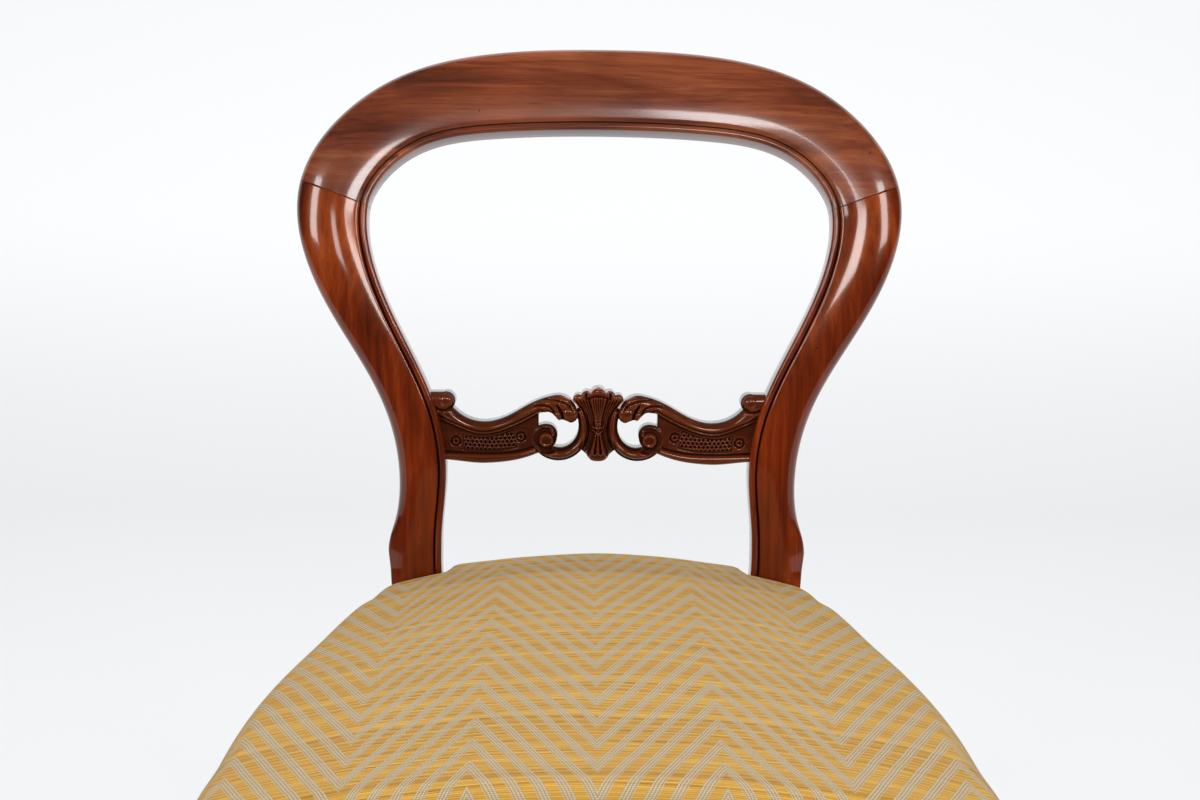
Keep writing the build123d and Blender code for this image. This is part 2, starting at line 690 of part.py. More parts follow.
def crown_arch(y, z, radius):
    """Upright section of all that lies under the crown's arch, whose top is at y in plan and z."""
    sag = radius - sqrt(radius**2 - wide**2)
    foot_z = RAIL_BOTTOM - CUT_MARGIN - z
    upright = Plane(origin=(0, POST_Y + y, z), x_dir=(1, 0, 0), z_dir=(0, -1, 0))
    with BuildSketch(upright, mode=Mode.PRIVATE) as arch:
        with BuildLine():
            ThreePointArc((-wide, -sag), (0, 0), (wide, -sag))
            Polyline((wide, -sag), (wide, foot_z), (-wide, foot_z), (-wide, -sag))
        make_face()
    return arch.sketch


def crowned_form(inset):
    """The finished outside of the seat, or a form that lies `inset` inside it: sides that swell
    from the rails' lower edge and draw in again, a crowned top and an eased edge."""
    bottom = RAIL_BOTTOM - COVER_THICKNESS + inset
    slices = [(bottom, 0.0), (PAD_WIDEST_Z, 1.0), (CROWN_TOP + CUT_MARGIN, PAD_UPPER_SWELL)]
    ridge_y = POST_Y + seat_centre_y
    fall = deep * tan(radians(CROWN_PITCH))
    with BuildPart(mode=Mode.PRIVATE) as under_crown:
        for share in (-1, 0, 1):
            y = seat_centre_y + share * deep
            z = CROWN_TOP - inset - abs(share) * fall
            add(crown_arch(y, z, CROWN_RADIUS_ACROSS - inset))
        loft(ruled=True)
    with BuildPart(mode=Mode.PRIVATE) as form:
        for z, swell in slices:
            add(seat_plan(level(z), swell, inset - (COVER_THICKNESS + GLUE_GAP) * (1 - swell)))
        loft()
        add(under_crown.part, mode=Mode.INTERSECT)
        tops = form.faces().filter_by(lambda face: face.normal_at().Z > cos(pi / 4))
        rim = tops.edges().filter_by(lambda edge: abs(edge.center().Y - ridge_y) > CUT_MARGIN)
        chamfer(rim, PAD_EDGE_EASE - inset)
    return form.part


def post_notch(side, gap, lining=0.0):
    """Room round a back post where it passes through the upholstery, open to the seat's back and
    side. The lining is the cover that is folded in against the post."""
    below = RAIL_BOTTOM - CUT_MARGIN
    steps = [
        (POST_INNER_X - gap, -gap, below, RAIL_TOP),
        (post_outer_x, -gap - lining, below, RAIL_TOP),
        (POST_INNER_X - gap - lining, -gap - lining, RAIL_TOP, TOTAL_HEIGHT),
    ]
    with BuildPart(mode=Mode.PRIVATE) as notch:
        for x, y, bottom, top in steps:
            low, high = sorted((side * x, side * wide))
            add(plan_box((low, y), (high, back), bottom, top))
    return notch.part


with BuildPart() as seat_outside:
    add(crowned_form(0))
    for side in (-1, 1):
        add(post_notch(side, CLOTH_GAP), mode=Mode.SUBTRACT)

with BuildPart() as seat_inside:
    add(crowned_form(COVER_THICKNESS))
    for side in (-1, 1):
        add(post_notch(side, CLOTH_GAP, COVER_THICKNESS), mode=Mode.SUBTRACT)

with BuildPart() as top_cover:
    add(seat_outside.part)
    add(seat_inside.part, mode=Mode.SUBTRACT)
    for rail in (right_side_rail, left_side_rail):
        add(rail.part, mode=Mode.SUBTRACT)
    under_frame = seat_plan(level(RAIL_BOTTOM - CUT_MARGIN), 0, COVER_TURN_UNDER)
    extrude(under_frame, amount=CUT_MARGIN + COVER_THICKNESS, mode=Mode.SUBTRACT)
    for side in (-1, 1):
        with Locations(level(RAIL_BOTTOM) * Location((side * LEG_X, -LEG_FORWARD, 0))):
            Cylinder(LEG_COLLAR_RADIUS + CLOTH_GAP, 4 * COVER_THICKNESS, mode=Mode.SUBTRACT)

# Room for the seat frame with its webbing and hessian, up against the back of the rear rail
with BuildPart() as frame_room:
    extrude(seat_plan(level(RAIL_BOTTOM), 0, -GLUE_GAP), amount=STUFFING_Z - RAIL_BOTTOM)
    behind = REAR_RAIL_THICKNESS + GLUE_GAP
    add(plan_box((-wide, behind), (wide, back), RAIL_BOTTOM, STUFFING_Z), mode=Mode.SUBTRACT)

# The stuffing lies on the hessian and runs down the outside of the rails to a hem over their edge
with BuildPart() as hair_stuffing:
    add(seat_inside.part)
    add(frame_room.part, mode=Mode.SUBTRACT)
    hem_z = RAIL_BOTTOM + PAD_HEM
    add(plan_box((-wide, -deep), (wide, back), RAIL_BOTTOM - CUT_MARGIN, hem_z), mode=Mode.SUBTRACT)

with BuildPart() as hessian_base_cloth:
    extrude(seat_plan(level(HESSIAN_Z), 0, CLOTH_GAP), amount=HESSIAN_THICKNESS)
    for side in (-1, 1):
        add(post_notch(side, 2 * CLOTH_GAP, COVER_THICKNESS), mode=Mode.SUBTRACT)
    add(plan_box((-wide, REAR_RAIL_THICKNESS), (wide, back), RAIL_TOP, CROWN_TOP), mode=Mode.SUBTRACT)

long_strap_x = [LONG_STRAP_PITCH * i for i in (-1, 0, 1)]
cross_strap_y = [-FRONT_RAIL_INNER / 2 + CROSS_STRAP_PITCH * i for i in (-1, 0, 1)]

with BuildPart() as webbing_front_to_back:
    for x in long_strap_x:
        half = WEBBING_WIDTH / 2
        add(
            plan_box(
                (x - half, -FRAME_FRONT + FRONT_BOW),
                (x + half, REAR_RAIL_THICKNESS - WEBBING_EDGE_MARGIN),
                RAIL_TOP,
                RAIL_TOP + WEBBING_THICKNESS,
            )
        )


def cross_strap(y, first_over, reach):
    """Strap across the seat that passes over one long strap and under the next."""
    over = RAIL_TOP + WEBBING_THICKNESS + CLOTH_GAP
    under = RAIL_TOP - WEBBING_THICKNESS - CLOTH_GAP
    half = WEBBING_WIDTH / 2 + STRAP_EASE
    line = [(-reach, RAIL_TOP), (long_strap_x[0] - half - STRAP_SLOPE, RAIL_TOP)]
    for i, x in enumerate(long_strap_x):
        z = over if (i % 2 == 0) == first_over else under
        line += [(x - half, z), (x + half, z)]
    line += [(long_strap_x[-1] + half + STRAP_SLOPE, RAIL_TOP), (reach, RAIL_TOP)]
    lifted = [(x, z + WEBBING_THICKNESS) for x, z in reversed(line)]
    with BuildSketch(Plane.XZ.offset(-(POST_Y + y - WEBBING_WIDTH / 2)), mode=Mode.PRIVATE) as profile:
        with BuildLine():
            Polyline(*line, *lifted, close=True)
        make_face()
    return extrude(profile.sketch, amount=-WEBBING_WIDTH, mode=Mode.PRIVATE)


with BuildPart() as webbing_side_to_side:
    for i, y in enumerate(cross_strap_y):
        reach = frame_half(-y - WEBBING_WIDTH / 2) - WEBBING_EDGE_MARGIN
        add(cross_strap(y, i % 2 == 0, reach))

# ---------------------------------------------------------------------------------------------
# Corner blocks
# ---------------------------------------------------------------------------------------------


def brace(corner, toward_x, toward_y):
    """Triangular block in the right half of the frame, with its square corner at `corner`."""
    x, y = corner
    far_x, far_y = x + toward_x * BRACE_LEG, y + toward_y * BRACE_LEG
    with BuildPart(mode=Mode.PRIVATE) as block:
        with BuildSketch(level(RAIL_TOP - RAIL_HEIGHT / 2 - BRACE_HEIGHT / 2)):
            with BuildLine():
                Polyline((x, y), (far_x, y), (x, far_y), close=True)
            make_face()
        extrude(amount=BRACE_HEIGHT)
        for neighbour in (right_side_rail.part, leg_corner, right_back_post.part):
            add(neighbour, mode=Mode.SUBTRACT)
    return block.part


leg_corner = plan_box((block_inner_x, -deep), (wide, block_back_y), RAIL_BOTTOM, RAIL_TOP)
front_corner = (LEG_X, -FRONT_RAIL_INNER)
rear_corner = (post_outer_x - SIDE_RAIL_THICKNESS, 0)

with BuildPart() as front_left_leg:
    add(front_right_leg.part.mirror(Plane.YZ))

with BuildPart() as left_back_post:
    add(right_back_post.part.mirror(Plane.YZ))

with BuildPart() as corner_block_front_right:
    add(brace(front_corner, -1, 1))

with BuildPart() as corner_block_rear_right:
    add(brace(rear_corner, -1, -1))

with BuildPart() as corner_block_front_left:
    add(corner_block_front_right.part.mirror(Plane.YZ))

with BuildPart() as corner_block_rear_left:
    add(corner_block_rear_right.part.mirror(Plane.YZ))

for name, piece in [
    ("crest_rail", crest_rail),
    ("crest_joint_dowels", crest_joint_dowels),
    ("right_back_post", right_back_post),
    ("left_back_post", left_back_post),
    ("carved_mid_rail", carved_mid_rail),
    ("front_rail", front_rail),
    ("rear_rail", rear_rail),
    ("left_side_rail", left_side_rail),
    ("right_side_rail", right_side_rail),
    ("front_left_leg", front_left_leg),
    ("front_right_leg", front_right_leg),
    ("corner_block_front_left", corner_block_front_left),
    ("corner_block_front_right", corner_block_front_right),
    ("corner_block_rear_left", corner_block_rear_left),
    ("corner_block_rear_right", corner_block_rear_right),
    ("webbing_front_to_back", webbing_front_to_back),
    ("webbing_side_to_side", webbing_side_to_side),
    ("hessian_base_cloth", hessian_base_cloth),
    ("hair_stuffing", hair_stuffing),
    ("top_cover", top_cover),
]:
    piece.part.label = name
    export_step(piece.part, f"parts/{name}.step")
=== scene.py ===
"""Looks of the balloon back chair: the moulded and polished mahogany back, its carved mid rail, the
turned and swept legs, and the seat in a woven chevron cloth.

Shapes are worked out in millimetres, +Z up and -Y to the front, in the frame's own axes, and become
metres when a mesh is made.
"""

from math import cos, pi, radians, sin, sqrt

import bmesh
import bpy
import numpy as np
from mathutils import Matrix, Vector


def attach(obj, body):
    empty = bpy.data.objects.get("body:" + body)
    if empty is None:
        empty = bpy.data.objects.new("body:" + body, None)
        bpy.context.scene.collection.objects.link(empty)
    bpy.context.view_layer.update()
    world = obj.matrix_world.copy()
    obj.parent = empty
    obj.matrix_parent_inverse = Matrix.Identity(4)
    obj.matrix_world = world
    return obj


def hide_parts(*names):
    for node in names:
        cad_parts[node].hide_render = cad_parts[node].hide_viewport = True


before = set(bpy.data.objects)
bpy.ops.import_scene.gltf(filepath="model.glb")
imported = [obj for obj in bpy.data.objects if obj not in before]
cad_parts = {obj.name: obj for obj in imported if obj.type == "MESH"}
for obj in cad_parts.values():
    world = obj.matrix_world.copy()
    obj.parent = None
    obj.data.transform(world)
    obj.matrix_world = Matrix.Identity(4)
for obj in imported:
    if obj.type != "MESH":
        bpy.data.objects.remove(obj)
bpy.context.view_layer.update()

MM = 0.001

# --- Sizes of the chair ---

# The back: heights, and stations of its centre line as (x, z, width)
POST_Y = 143.5
TOTAL_HEIGHT = 850.5
CREST_WIDTH = 61.5
SHOULDER = (196.4, 731.0, 52.8)
ARM_WIDTH = 37.0
WAIST = (129.8, 544.0, 35.8)
KNUCKLE = (135.8, 481.0, 39.8)
CREST_LEAN = 3.6
RAKE_START = 523.7
RAKE_RADIUS = 807.5
FRAME_DEPTH = 27.0

# Its moulded section, which stops over the knuckle, and the joint across the shoulder
BEAD = 5.2
BEAD_SUNK = 1.0
QUIRK_WIDTH = 1.1
QUIRK_DEPTH = 4.0
FACE_CROWN = 2.6
FACE_RADIUS = 62.0
OUTER_ROUND = 11.0
STOPPED_ROUND = 2.6
BACK_ROUND = 7.0
BLOCK_ROUND = 1.8
STOP_TOP = 507.0
STOP_BOTTOM = 487.0
JOINT_SLANT = 8.0
JOINT_REACH = 45.0
JOINT_GROOVE = 0.35

# The post inside the seat and the rear leg
POST_INNER_X = 116.0
POST_OUTER_X = 153.0
SQUARE_TOP = 453.0
REAR_LEG_TOP = 345.0
REAR_FOOT = 27.0
REAR_FOOT_X = 136.0
REAR_FOOT_SWEEP = 78.0

# Carved rail
RAIL_Z = 548.7
RAIL_HEIGHT = 57.0
RAIL_SETBACK = 4.0
RAIL_DEPTH = 20.0
RAIL_REACH = 124.0
CARVING_STEP = 0.34
RELIEF_SCALE = 1.38
DEEPEST = -6.6

# Seat frame in plan, with Y from the posts' front, and how far the pad stands over it
FRAME_TOP = 425.0
FRAME_BOTTOM = 365.0
FRAME_MIDDLE_HALF = 190.0
FRAME_FRONT_HALF = 208.0
FRAME_FRONT = 378.0
FRONT_BOW = 20.0
SEAT_BACK = 30.6
SEAT_MIDDLE = 150.0
OVERHANG_BACK = 22.0
OVERHANG_MIDDLE = 17.0
OVERHANG_FRONT = 23.0
OVERHANG_CORNER = 13.0
POST_GAP = 0.7

# Pad and cover
SEAT_CENTRE_Y = -181.0
CROWN_MIDDLE_Y = -215.0
CROWN_TOP = 490.3
CROWN_ACROSS = 560.0
CROWN_ALONG = 2000.0
COVER_OUTSIDE = 1.3
TURN_UNDER = 14.0
PAD_UNDERSIDE = FRAME_TOP + 5.2
RAIL_GAP = 0.15
TOP_RINGS = 64
FLAT_RINGS = TOP_RINGS - 12
SIDE_RINGS = 26

# The weave: valley lines CHEVRON_HALF apart, and stripes whose count grows along the seat
CHEVRON_HALF = 67.3
CHEVRON_SHIFT = 2.6
CHEVRON_PITCH = 28.4
CHEVRON_PHASE = 26.0
CHEVRON_SLOPE = 2.2
THREAD_PITCH = 1.25
WEAVE_START_Y = -17.2
WEAVE_START = -4.7
WEAVE_COUNT = 0.02924
WEAVE_TIGHTENING = 1.584e-5

# Front legs
LEG_X = 184.0
LEG_Y = -197.5
LEG_BLOCK = 46.0
TURNED_AROUND = 72

# Webbing, hessian and the slots of the screws
WEBBING = 50.0
WEBBING_THICK = 1.6
STRAP_GAP = 0.3
STRAP_Z = FRAME_TOP + 0.05
HESSIAN_Z = 428.9
HESSIAN_THICK = 0.8
SLOT_DEPTH = 0.55

# --- Curves ---


def spline(points, start=None, end=None):
    """Smooth curve through points, by chord length. Returns it as a function that gives places and
    directions for an array of lengths, and the length at each point."""
    points = np.array(points, float)
    count = len(points)
    steps = np.linalg.norm(np.diff(points, axis=0), axis=1)
    at = np.concatenate(([0.0], np.cumsum(steps)))
    system, known = np.zeros((count, count)), np.zeros(points.shape)
    for i in range(1, count - 1):
        before, after = steps[i - 1], steps[i]
        system[i, i - 1 : i + 2] = 1 / before, 2 * (1 / before + 1 / after), 1 / after
        rise = (points[i + 1] - points[i]) / after**2 + (points[i] - points[i - 1]) / before**2
        known[i] = 3 * rise
    for row, side, given in ((0, 1, start), (count - 1, count - 2, end)):
        system[row, row] = 1.0
        if given is None:
            system[row, side] = 1.0
            chord = points[side] - points[row]
            given = 2 * chord / np.linalg.norm(chord) * (1 if row == 0 else -1)
        known[row] = given
    slopes = np.linalg.solve(system, known)

    def along(lengths):
        lengths = np.clip(np.asarray(lengths, float), 0, at[-1])
        i = np.clip(np.searchsorted(at, lengths, side="right") - 1, 0, count - 2)
        width = steps[i][:, None]
        t = ((lengths - at[i]) / steps[i])[:, None]
        p, q = points[i], points[i + 1]
        m, n = slopes[i] * width, slopes[i + 1] * width
        place = p * (2 * t**3 - 3 * t**2 + 1) + m * (t**3 - 2 * t**2 + t)
        place = place + q * (3 * t**2 - 2 * t**3) + n * (t**3 - t**2)
        way = p * (6 * t**2 - 6 * t) + m * (3 * t**2 - 4 * t + 1)
        way = way + q * (6 * t - 6 * t**2) + n * (3 * t**2 - 2 * t)
        return place, way / width

    return along, at


def smooth_path(points, count=40):
    """Points along a smooth curve through the given ones."""
    along, at = spline(points)
    return along(np.linspace(0, at[-1], count))[0]


def arc(centre, radius, start, end, count):
    """Points on an arc; the angles are in degrees."""
    turns = np.radians(np.linspace(start, end, count))
    return np.stack([centre[0] + radius * np.cos(turns), centre[1] + radius * np.sin(turns)], 1)


def arc_through(a, b, c, count=16):
    """Points on the arc from a through b to c."""
    a, b, c = (np.array(p, float) for p in (a, b, c))
    centre = np.linalg.solve(2 * np.array([b - a, c - a]), np.array([b @ b - a @ a, c @ c - a @ a]))
    turns = [np.arctan2(*(p - centre)[::-1]) for p in (a, b, c)]
    sweep = (turns[2] - turns[0]) % (2 * pi)
    if (turns[1] - turns[0]) % (2 * pi) > sweep:
        sweep -= 2 * pi
    radius = np.linalg.norm(a - centre)
    return arc(centre, radius, np.degrees(turns[0]), np.degrees(turns[0] + sweep), count)


def lengths_along(path):
    """Length from a path's start to each of its points."""
    return np.concatenate(([0.0], np.cumsum(np.linalg.norm(np.diff(path, axis=0), axis=1))))


def at_lengths(path, wanted):
    """Points of a flat path at lengths along it."""
    return np.stack([np.interp(wanted, lengths_along(path), path[:, i]) for i in (0, 1)], 1)


def ease(x):
    """0 below 0, 1 above 1 and smooth between."""
    x = np.clip(x, 0.0, 1.0)
    return x * x * (3 - 2 * x)


# --- Meshes ---


def make_piece(name, points, faces, material, cad=(), slot=None, **values):
    """A smooth piece from points in millimetres, which rides with the chair and stands for the CAD
    nodes named. `values` are numbers or vectors for each point, for the material."""
    mesh = bpy.data.meshes.new(name)
    mesh.from_pydata((np.asarray(points) * MM).tolist(), [], [tuple(map(int, f)) for f in faces])
    for key, given in values.items():
        vectors = given.ndim == 2
        layer = mesh.attributes.new(key, "FLOAT_VECTOR" if vectors else "FLOAT", "POINT")
        layer.data.foreach_set("vector" if vectors else "value", given.ravel())
    mesh.materials.append(material)
    mesh.validate()
    turned_out = bmesh.new()
    turned_out.from_mesh(mesh)
    bmesh.ops.recalc_face_normals(turned_out, faces=turned_out.faces)
    turned_out.to_mesh(mesh)
    turned_out.free()
    mesh.shade_smooth()
    piece = bpy.data.objects.new(name, mesh)
    bpy.context.scene.collection.objects.link(piece)
    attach(piece, "root")
    if cad:
        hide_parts(*cad)
    return piece


def mirrored(points):
    return points * np.array([-1, 1, 1])


def make_pair(name, points, faces, wood, node, recess):
    """A mahogany piece on the right and its mirror image on the left; {} in its names is the side."""
    for side, shape in (("right", points), ("left", mirrored(points))):
        make_piece(name.format(side), shape, faces, wood, [node.format(side)], "mahogany", recess=recess)


def tube_faces(rings, around, first=0, caps=True):
    """Faces of a tube of rings of points, closed by a face at each end if asked for."""
    ring = np.arange(rings - 1)[:, None] * around + first
    side = np.arange(around)[None, :]
    following = (side + 1) % around
    near, far = ring + side, ring + following
    quads = np.stack([near, far, far + around, near + around], -1)
    faces = quads.reshape(-1, 4).tolist()
    if caps:
        last = first + (rings - 1) * around
        faces += [[first + i for i in reversed(range(around))], [last + i for i in range(around)]]
    return faces


# --- Materials ---


def rgba(colour):
    """A written colour with its alpha. Sockets stay as they are."""
    return (*colour, 1.0) if isinstance(colour, tuple) else colour


class Shader:
    """A material's node tree, written as calls that return the sockets they make."""

    def __init__(self, name):
        self.material = bpy.data.materials.new(name)
        self.material.use_nodes = True
        self.tree = self.material.node_tree
        self.surface = self.tree.nodes["Principled BSDF"]

    def set(self, socket, value):
        if isinstance(value, bpy.types.NodeSocket):
            self.tree.links.new(value, socket)
        else:
            socket.default_value = value

    def node(self, kind, inputs=None, **settings):
        made = self.tree.nodes.new("ShaderNode" + kind)
        for key, value in settings.items():
            setattr(made, key, value)
        for key, value in (inputs or {}).items():
            self.set(made.inputs[key], value)
        return made.outputs

    def math(self, operation, *values):
        return self.node("Math", dict(enumerate(values)), operation=operation)[0]

    def plus(self, a, b):
        return self.math("ADD", a, b)

    def minus(self, a, b):
        return self.math("SUBTRACT", a, b)

    def times(self, a, b):
        return self.math("MULTIPLY", a, b)

    def mix(self, share, a, b):
        return self.node("Mix", {0: share, 6: rgba(a), 7: rgba(b)}, data_type="RGBA")[2]

    def ramp(self, value, *stops):
        made = self.tree.nodes.new("ShaderNodeValToRGB")
        self.set(made.inputs[0], value)
        line = made.color_ramp
        while len(line.elements) < len(stops):
            line.elements.new(0.5)
        for element, (at, colour) in zip(line.elements, stops):
            element.position = at
            element.color = rgba(colour)
        return made.outputs[0]

    def range(self, value, low, high, to_low=0.0, to_high=1.0):
        given = dict(enumerate((value, low, high, to_low, to_high)))
        return self.node("MapRange", given, interpolation_type="SMOOTHSTEP")[0]

    def place(self, scale=(1, 1, 1), move=(0, 0, 0)):
        where = self.node("TexCoord")["Object"]
        return self.node("Mapping", {"Vector": where, "Scale": scale, "Location": move})[0]

    def noise(self, place, scale, detail=4.0, roughness=0.5, distortion=0.0):
        given = {"Scale": scale, "Detail": detail, "Roughness": roughness, "Distortion": distortion}
        return self.node("TexNoise", {"Vector": place, **given})[0]

    def attribute(self, name, kind):
        return self.node("Attribute", attribute_name=name)[kind]

    def bump(self, height, strength, distance, *under):
        given = {"Height": height, "Strength": strength, "Distance": distance}
        return self.node("Bump", {**given, **{"Normal": normal for normal in under}})[0]

    def finish(self, **inputs):
        for key, value in inputs.items():
            self.set(self.surface.inputs[key.replace("_", " ")], value)
        return self.material


def polished_wood(name, grain, seed, dark, middle, warm, glint=(1.0, 0.45, 0.22, 1.0)):
    """French-polished mahogany whose grain runs along one axis. "recess" is 0 to 1 in hollows, where
    painted shade makes the colour nearly black, and 0 to -1 on raised edges, where a painted
    highlight makes it warm."""
    s = Shader(name)
    across = [1.0 if axis == grain else 7.0 for axis in "XYZ"]
    fine = [1.0 if axis == grain else 30.0 for axis in "XYZ"]
    shift = (seed * 0.37, seed * 0.53, seed * 0.29)
    figure = s.noise(s.place(across, shift), 3.4, 5.0, 0.55, 1.1)
    stripes = s.noise(s.place(fine, shift), 8.0, 6.0, 0.6, 0.3)
    cloud = s.noise(s.place(move=shift), 9.0, 3.0, 0.55)
    pores = s.noise(s.place(fine, shift), 55.0, 2.0, 0.5)
    specks = s.noise(s.place(), 150.0, 1.0, 0.4)
    dents = s.noise(s.place(), 300.0, 2.0, 0.5)
    recess = s.attribute("recess", "Fac")
    tone = s.plus(s.times(figure, 0.66), s.times(stripes, 0.34))
    wood = s.ramp(tone, (0.37, dark), (0.49, middle), (0.65, warm))
    for *mask, tint in (
        (cloud, 0.45, 0.68, 0.0, 0.42, dark),
        (pores, 0.60, 0.72, 0.0, 0.45, (0.026, 0.004, 0.001)),
        (specks, 0.775, 0.80, 0.0, 0.7, (0.012, 0.003, 0.002)),
        # Painted highlight: raised edges, where recess is below 0, are drawn warmer
        (recess, -1.0, 0.0, 0.75, 0.0, warm),
        # Painted shade: hollows, where recess is above 0, are drawn nearly black
        (recess, 0.0, 1.0, 0.0, 0.96, (0.006, 0.0012, 0.0006)),
    ):
        wood = s.mix(s.range(*mask), wood, tint)
    return s.finish(
        Base_Color=wood,
        Roughness=s.range(recess, 0.0, 0.7, 0.24, 0.55),
        Specular_IOR_Level=0.30,
        Specular_Tint=glint,
        Coat_Weight=s.range(recess, 0.0, 0.6, 0.7, 0.0),
        Coat_Roughness=0.085,
        Normal=s.bump(stripes, 0.05, 0.0004, s.bump(dents, 0.05, 0.0004)),
    )


def plain_wood(name, grain, seed):
    """Sawn beech of the hidden seat frame."""
    s = Shader(name)
    fine = [1.0 if axis == grain else 22.0 for axis in "XYZ"]
    shift = (seed * 0.31, seed * 0.17, seed * 0.47)
    lines = s.noise(s.place(fine, shift), 7.0, 6.0, 0.6, 0.4)
    flecks = s.noise(s.place(fine, shift), 42.0, 2.0)
    pale = ((0.30, (0.300, 0.165, 0.082)), (0.55, (0.420, 0.255, 0.135)), (0.75, (0.500, 0.320, 0.180)))
    wood = s.mix(s.range(flecks, 0.6, 0.75, 0.0, 0.5), s.ramp(lines, *pale), (0.190, 0.095, 0.045))
    return s.finish(Base_Color=wood, Roughness=0.62, Normal=s.bump(lines, 0.25, 0.0006))


def chevron_cloth(name):
    """Gold ground woven across the seat, with ragged taupe chevrons of fine parallel lines. It reads
    the cloth's own flat coordinates, in millimetres."""
    s = Shader(name)
    flat = s.attribute("cloth", "Vector")
    across, along, _ = s.node("SeparateXYZ", {"Vector": flat})

    def stretched(x_scale, y_scale, detail=2.0):
        place = s.node("Mapping", {"Vector": flat, "Scale": (x_scale, y_scale, 1.0)})[0]
        return s.noise(place, 1.0, detail)

    # Weft threads run across the seat and step the stripes' edges
    wander = s.times(s.minus(stretched(0.012, 0.05), 0.5), 3.0)
    thread = s.math("DIVIDE", s.plus(along, wander), THREAD_PITCH)
    row = s.math("FLOOR", thread)
    stepped = s.times(s.plus(row, 0.5), THREAD_PITCH)
    ragged = s.times(s.minus(stretched(0.35, 0.9), 0.5), 1.6)

    # Distance from the nearest valley line of the chevron, and the place in its stripe. Whole numbers
    # of repeats are added, so that nothing is negative.
    from_valley = s.math("PINGPONG", s.plus(across, CHEVRON_SHIFT + 40 * CHEVRON_HALF), CHEVRON_HALF)
    phase = s.minus(s.plus(stepped, ragged), s.times(from_valley, CHEVRON_SLOPE))
    phase = s.math("DIVIDE", s.plus(phase, CHEVRON_PHASE + 100 * CHEVRON_PITCH), CHEVRON_PITCH)
    phase = s.math("FRACT", phase)
    stripe = s.range(s.math("ABSOLUTE", s.minus(phase, 0.5)), 0.235, 0.265)

    # Each stripe is a bundle of fine pale lines
    line = s.range(s.math("SINE", s.times(phase, 2 * pi * 7.0)), -0.55, 0.55)
    slub = stretched(0.022, 1.0, 3.0)
    row_tone = s.node("TexWhiteNoise", {"W": row}, noise_dimensions="1D")["Value"]
    gold = s.ramp(
        s.plus(s.times(slub, 0.65), s.times(row_tone, 0.35)),
        (0.22, (0.260, 0.125, 0.020)),
        (0.42, (0.510, 0.270, 0.046)),
        (0.62, (0.640, 0.375, 0.066)),
        (0.84, (0.760, 0.520, 0.140)),
    )
    gold = s.mix(s.range(stretched(0.045, 0.8, 1.0), 0.44, 0.62, 0.0, 0.5), gold, (0.470, 0.235, 0.058))
    taupe = s.mix(line, (0.340, 0.225, 0.098), (0.540, 0.430, 0.270))
    taupe = s.mix(s.times(row_tone, 0.30), taupe, (0.600, 0.500, 0.350))
    crest = s.math("SINE", s.times(s.math("FRACT", thread), pi))
    shade = s.range(crest, 0.0, 0.75, 0.74, 1.0)
    shaded = s.node("VectorMath", {0: s.mix(stripe, gold, taupe), "Scale": shade}, operation="SCALE")
    warp = s.math("SINE", s.times(across, 2 * pi / 1.1))
    weave = s.plus(s.plus(crest, s.times(warp, 0.25)), s.times(line, s.times(stripe, 0.8)))
    return s.finish(
        Base_Color=shaded[0],
        Roughness=0.9,
        Specular_IOR_Level=0.2,
        Sheen_Weight=0.06,
        Sheen_Roughness=0.5,
        Normal=s.bump(weave, 0.5, 0.00045, s.bump(slub, 0.35, 0.0008)),
    )


def woven(name, light, dark, pitch, stripe=None):
    """Plain weave of coarse yarn, with darker stripes along its length if asked for."""
    s = Shader(name)
    flat = s.attribute("cloth", "Vector")
    across, along, _ = s.node("SeparateXYZ", {"Vector": flat})
    weave = s.times(*(s.math("SINE", s.times(axis, pi / pitch)) for axis in (across, along)))
    tone = s.plus(s.times(weave, 0.28), s.noise(flat, 0.35, 3.0))
    colour = s.ramp(tone, (0.25, dark), (0.75, light))
    if stripe is not None:
        centre, half, tint = stripe
        off = s.math("ABSOLUTE", s.minus(s.math("ABSOLUTE", across), centre))
        colour = s.mix(s.range(off, half * 0.8, half, 0.8, 0.0), colour, tint)
    return s.finish(Base_Color=colour, Roughness=0.93, Normal=s.bump(weave, 0.7, 0.0006))


def metal(name, colour, roughness):
    """Darkened iron or steel with a little wear."""
    s = Shader(name)
    wear = s.noise(s.place(), 900.0, 3.0)
    tint = s.mix(s.range(wear, 0.45, 0.7, 0.0, 0.6), colour, tuple(c * 0.4 for c in colour))
    return s.finish(Base_Color=tint, Metallic=1.0, Roughness=s.range(wear, 0.3, 0.7, roughness, 0.6))


CLEAR = (1.0, 1.0, 1.0, 1.0)
WOODS = {
    "crest": ("X", 1, (0.064, 0.0140, 0.0050), (0.158, 0.0325, 0.0110), (0.315, 0.0860, 0.0290), CLEAR),
    "post": ("Z", 2, (0.054, 0.0056, 0.0004), (0.135, 0.0135, 0.0007), (0.290, 0.0440, 0.0036)),
    "carved": ("X", 3, (0.028, 0.0036, 0.0009), (0.060, 0.0080, 0.0016), (0.125, 0.0200, 0.0036)),
    "leg": ("Z", 4, (0.056, 0.0055, 0.0007), (0.135, 0.0140, 0.0012), (0.260, 0.0380, 0.0040)),
}
mahogany = {part: polished_wood(f"mahogany_{part}", *given) for part, given in WOODS.items()}

# --- The balloon frame: the crest rail and the two posts with their legs ---

